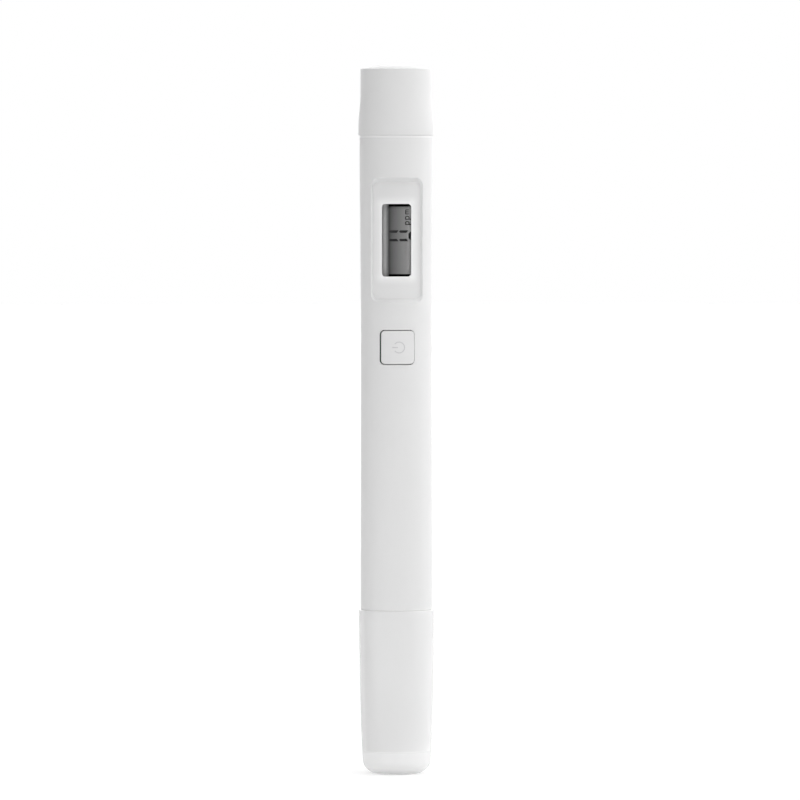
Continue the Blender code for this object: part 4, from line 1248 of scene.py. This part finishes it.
def make_key_symbol():
    """A generic on mark that faces the way the digits read: an open ring, a bar in its gap."""
    skin = Skin()
    centre = Vector((KEY_MARK_X, BUTTON_Z))
    half = MARK_STROKE / 2
    left, right = [], []
    for i in range(MARK_STEPS + 1):
        around = (360 - 2 * MARK_GAP_DEG) * i / MARK_STEPS
        angle = math.radians(180 + MARK_GAP_DEG + around)
        out = Vector((math.cos(angle), math.sin(angle)))
        left.append(centre + out * (MARK_R + half))
        right.append(centre + out * (MARK_R - half))
    ribbon(skin, left, right)
    bar = [KEY_MARK_X + MARK_BAR_START + MARK_BAR_STEP * i for i in range(MARK_BAR_POINTS)]
    ribbon(skin, [(x, BUTTON_Z + half) for x in bar], [(x, BUTTON_Z - half) for x in bar])
    skin.piece("measure_key_symbol", BUTTON_BODY, "white_abs", PRINT_INK)


# Display.

def make_lens():
    """The clear window: a curved face just inside the dished edge, and a flange behind."""
    def face(x, z):
        return floor_y(x) + LENS_DROP

    def rim(inset):
        return window_outline(-LENS_GAP - inset)

    flange = outline(LENS_FLANGE_HALF, WINDOW_CORNER, POCKET_STEPS_Z)
    loops = [
        lift(flange, DISPLAY_Z, LENS_BACK_Y),
        lift(flange, DISPLAY_Z, LENS_FLANGE_Y),
        lift(rim(0.0), DISPLAY_Z, LENS_FLANGE_Y),
        lift(rim(0.0), DISPLAY_Z, lambda x, z: face(x, z) + LENS_EDGE),
    ]
    inner = rim(LENS_EDGE)
    for share in (1.0, 0.8, 0.6, 0.4, 0.2):
        loops.append(lift([p * share for p in inner], DISPLAY_Z, face))
    skin = Skin()
    skin.close(loops, (0.0, LENS_BACK_Y, DISPLAY_Z), (0.0, face(0.0, 0.0), DISPLAY_Z))
    lens = skin.piece("display_window", BARREL_BODY, "clear_acrylic")
    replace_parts(lens, "display_lens")


def plates(name, outlines, near_y, far_y, slot, finish):
    """Flat shapes of one thickness, each from its (x, z) outline in millimetres on the display."""
    skin = Skin()
    for shape in outlines:
        points = [(x * MM, DISPLAY_Z + z * MM) for x, z in shape]
        near = skin.loop([(x, near_y, z) for x, z in points])
        far = skin.loop([(x, far_y, z) for x, z in points])
        skin.bridge(near, far)
        skin.faces.append(tuple(near))
        skin.faces.append(tuple(reversed(far)))
    return skin.piece(name, BARREL_BODY, slot, finish, sharp_deg=20.0)


def stroke(line, width):
    """The outline of a flat line of one width through (x, z) points."""
    left, right = [], []
    for i, point in enumerate(line):
        here = Vector(point)
        before = Vector(line[max(i - 1, 0)])
        after = Vector(line[min(i + 1, len(line) - 1)])
        along = (after - before).normalized() * width / 2
        left.append(here + Vector((-along.y, along.x)))
        right.append(here + Vector((along.y, -along.x)))
    return left + right[::-1]


def make_digits():
    """A lit 0 that reads up the pen: four long segments and an end segment, with mitred ends."""
    outlines = []
    over, under = DIGIT_MITRE
    for z, inward in zip(DIGIT_Z, (DIGIT_THICK, -DIGIT_THICK)):
        for start, end in DIGIT_SPANS:
            outlines.append(
                [
                    (start, z),
                    (start + DIGIT_THICK, z - inward),
                    (end + over, z - inward),
                    (end - under, z + inward),
                    (start + DIGIT_THICK, z + inward),
                ]
            )
    centre = sum(DIGIT_Z) / 2
    lower = [(x, centre - half) for x, half in DIGIT_END]
    upper = [(x, centre + half) for x, half in DIGIT_END]
    outlines.append(lower[:1] + upper + lower[:0:-1])
    near_y = FILM_LOW.y - 2.2 * INK
    far_y = FILM_LOW.y - 0.2 * INK
    plates("display_digit", outlines, near_y, far_y, "lcd_film", SEGMENT_INK)


def make_unit():
    """The unit ppm, small beside the digit. It reads up the pen: right is +Z and up is -X."""
    top, bow, leg = UNIT_HEIGHT - 0.05, UNIT_BOW, UNIT_LEG
    bowl = rounded([(0, top), (bow, top, 0.3), (bow, 0, 0.3), (0, 0)])
    p_lines = [[(0, -UNIT_TAIL), (0, UNIT_HEIGHT)], bowl]
    arch = rounded([(0, top - 0.04), (leg, top, 0.2), (leg, 0)])
    m_lines = [[(0, 0), (0, UNIT_HEIGHT)], arch, [(u + leg, v) for u, v in arch]]
    outlines = []
    for place, lines in enumerate((p_lines, p_lines, m_lines)):
        start_z = UNIT_START_Z + place * UNIT_PITCH
        for line in lines:
            upright = [(UNIT_BASELINE_X - v, start_z + u) for u, v in line]
            outlines.append(stroke(upright, UNIT_WEIGHT))
    near_y = FILM_LOW.y - 2.0 * INK
    far_y = FILM_LOW.y - 0.2 * INK
    plates("display_unit", outlines, near_y, far_y, "lcd_film", SEGMENT_INK)


def make_display_border():
    """Painted shade at the display's edges: black strips at the film's ends, and beside the film
    the bare edge of the glass, printed grey that darkens into the gap by the film.
    """
    left_x = FILM_LOW.x / MM
    glass_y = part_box("lcd_front_glass")[0].y
    # The black strips at the film's ends are painted shade for the dark gaps there.
    strips = []
    for side in (-1, 1):
        inner, outer = STRIP_INNER_Z[side], STRIP_OUTER_Z * side
        strips.append(
            [(left_x, inner), (STRIP_RIGHT_X, inner), (STRIP_RIGHT_X, outer), (left_x, outer)]
        )
    front_y = glass_y - INK
    plates("display_end_gap_shade", strips, FILM_LOW.y, front_y, "black_plastic", END_GAP_SHADE)
    # Grey with painted shade that darkens towards the film.
    bare = [
        (BARE_LEFT_X, -BARE_HALF_Z),
        (left_x, -BARE_HALF_Z),
        (left_x, BARE_HALF_Z),
        (BARE_LEFT_X, BARE_HALF_Z),
    ]
    near_y = glass_y - 1.5 * INK
    far_y = glass_y - 0.5 * INK
    plates("display_glass_edge_shaded", [bare], near_y, far_y, "lcd_film", BARE_GLASS)


def make_elastomer():
    """The strip that joins the glass to the board."""
    low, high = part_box("zebra_connector")
    section = rounded(
        [
            (low.x, high.y),
            (low.x, low.y, ELASTOMER_EDGE),
            (high.x, low.y, ELASTOMER_R),
            (high.x, high.y),
        ]
    )
    skin = Skin()
    skin.prism([[(x, y, z) for x, y in section] for z in (low.z, high.z)])
    elastomer = skin.piece("display_elastomer", BARREL_BODY, "grey_silicone")
    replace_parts(elastomer, "zebra_connector")


# Pieces kept from the CAD.

def dress_nodes():
    """Gives every CAD node that stays in sight or inside its slot's procedural finish."""
    slots = {part["node"]: part["material_slot"] for part in frame["record"]["subparts"]}
    for name, node in frame["nodes"].items():
        node.data.materials.clear()
        node.data.materials.append(FINISHES[slots[name]])
        for slot in node.material_slots:
            slot.material = FINISHES[slots[name]]


# Studio.

CAMERA_DISTANCE = 1.55
CAMERA_ELEVATION = math.radians(1.9)
CAMERA_AZIMUTH = math.radians(-1.6)
CAMERA_ROLL = math.radians(-0.05)
VIEW_WIDTH = 0.17
VIEW_CENTRE = (0.79 * MM, 79.5 * MM)
SENSOR = 36.0
FLOOR_HALF = 5.0

# The room's light: wide lobes as (azimuth from the front towards +X, elevation, strength).
SKY_LOBES = (
    (45, 0, 0.45),
    (105, 0, 2.9),
    (180, 0, 2.87),
    (0, 45, 1.35),
    (180, 45, 0.65),
    (0, 90, 0.45),
)
LOBE_POWER = 4.0
FLOOR_WHITE = 0.78
FLOOR_TONES = (FLOOR_WHITE - 0.005, FLOOR_WHITE + 0.005)
FLOOR_GRAIN = 2.5 * MM
FLOOR_DROP = 0.02 * MM
FLOOR_GLOW = 0.33
FILL_PLACE = (-85 * MM, -60 * MM, 30 * MM)
FILL_SIZE = 70 * MM
FILL_POWER = 0.0115


def make_world():
    world = bpy.data.worlds.new("studio")
    bpy.context.scene.world = world
    world.use_nodes = True
    tree = world.node_tree
    tree.nodes.clear()
    direction = add(tree, "TexCoord").outputs["Generated"]
    total = 0.0
    for azimuth, elevation, strength in SKY_LOBES:
        turn, rise = math.radians(azimuth), math.radians(elevation)
        aim = (
            math.sin(turn) * math.cos(rise),
            -math.cos(turn) * math.cos(rise),
            math.sin(rise),
        )
        lean = add(tree, "VectorMath", {0: direction, 1: aim}, operation="DOT_PRODUCT")
        facing = calc(tree, "MAXIMUM", lean.outputs["Value"], 0.0)
        lobe = calc(tree, "POWER", facing, LOBE_POWER)
        total = calc(tree, "MULTIPLY_ADD", lobe, strength, total)
    seen = add(tree, "LightPath").outputs["Is Camera Ray"]
    shown = add(tree, "Mix", {0: seen, 2: total, 3: 1.0}, data_type="FLOAT").outputs[0]
    light = add(tree, "Background", {"Color": (1.0, 1.0, 1.0, 1.0), "Strength": shown})
    add(tree, "OutputWorld", {"Surface": light.outputs["Background"]})


def make_floor():
    mesh = bpy.data.meshes.new("floor")
    half = FLOOR_HALF
    corners = [(-half, -half, 0), (half, -half, 0), (half, half, 0), (-half, half, 0)]
    mesh.from_pydata(corners, [], [(0, 1, 2, 3)])
    floor = bpy.data.objects.new("floor", mesh)
    floor.location.z = -FLOOR_DROP
    bpy.context.scene.collection.objects.link(floor)
    made, tree = new_material("floor_paper")
    tone = span(tree, noise(tree, object_place(tree), FLOOR_GRAIN, 3.0), results=FLOOR_TONES)
    paper = add(tree, "BsdfDiffuse", {"Color": tone, "Roughness": 0.8})
    seen = add(tree, "LightPath").outputs["Is Camera Ray"]
    glow = add(tree, "Emission", {"Strength": calc(tree, "MULTIPLY", seen, FLOOR_GLOW)})
    both = add(tree, "AddShader", {0: paper.outputs["BSDF"], 1: glow.outputs["Emission"]})
    output(tree, both.outputs["Shader"])
    mesh.materials.append(made)


def make_fill():
    """A small soft lamp low on the left, out of the picture."""
    lamp = bpy.data.lights.new("fill", "AREA")
    lamp.shape = "DISK"
    lamp.size = FILL_SIZE
    lamp.energy = FILL_POWER
    fill = bpy.data.objects.new("fill", lamp)
    fill.location = FILL_PLACE
    aim = Vector((0.0, 0.0, FILL_PLACE[2])) - fill.location
    fill.rotation_euler = aim.to_track_quat("-Z", "Y").to_euler()
    fill.visible_camera = False
    bpy.context.scene.collection.objects.link(fill)


def make_camera():
    data = bpy.data.cameras.new("camera")
    data.sensor_width = SENSOR
    data.lens = SENSOR * CAMERA_DISTANCE / VIEW_WIDTH
    data.clip_start = 0.1
    data.clip_end = 50.0
    camera = bpy.data.objects.new("camera", data)
    bpy.context.scene.collection.objects.link(camera)
    bpy.context.scene.camera = camera
    flat = math.cos(CAMERA_ELEVATION)
    back = Vector(
        (
            math.sin(CAMERA_AZIMUTH) * flat,
            -math.cos(CAMERA_AZIMUTH) * flat,
            math.sin(CAMERA_ELEVATION),
        )
    )
    side = Vector((math.cos(CAMERA_AZIMUTH), math.sin(CAMERA_AZIMUTH), 0.0))
    target = side * VIEW_CENTRE[0] + Vector((0.0, 0.0, VIEW_CENTRE[1]))
    camera.location = target + back * CAMERA_DISTANCE
    roll = Matrix.Rotation(CAMERA_ROLL, 3, "Z").to_quaternion()
    camera.rotation_mode = "QUATERNION"
    camera.rotation_quaternion = (-back).to_track_quat("-Z", "Y") @ roll


make_barrel()
make_top_cap()
make_probe_cap()
make_battery_sleeve()
make_cells()
make_probe_guard()
make_probe_pins()
seal("top_seal", *TOP_SEAL, "top_cap_seal_ring")
seal("probe_seal", *PROBE_SEAL, "probe_seal_ring")
make_key()
make_membrane()
make_key_symbol()
make_lens()
make_digits()
make_unit()
make_display_border()
make_elastomer()
dress_nodes()
make_world()
make_floor()
make_fill()
make_camera()
bpy.context.scene.view_settings.view_transform = "Standard"
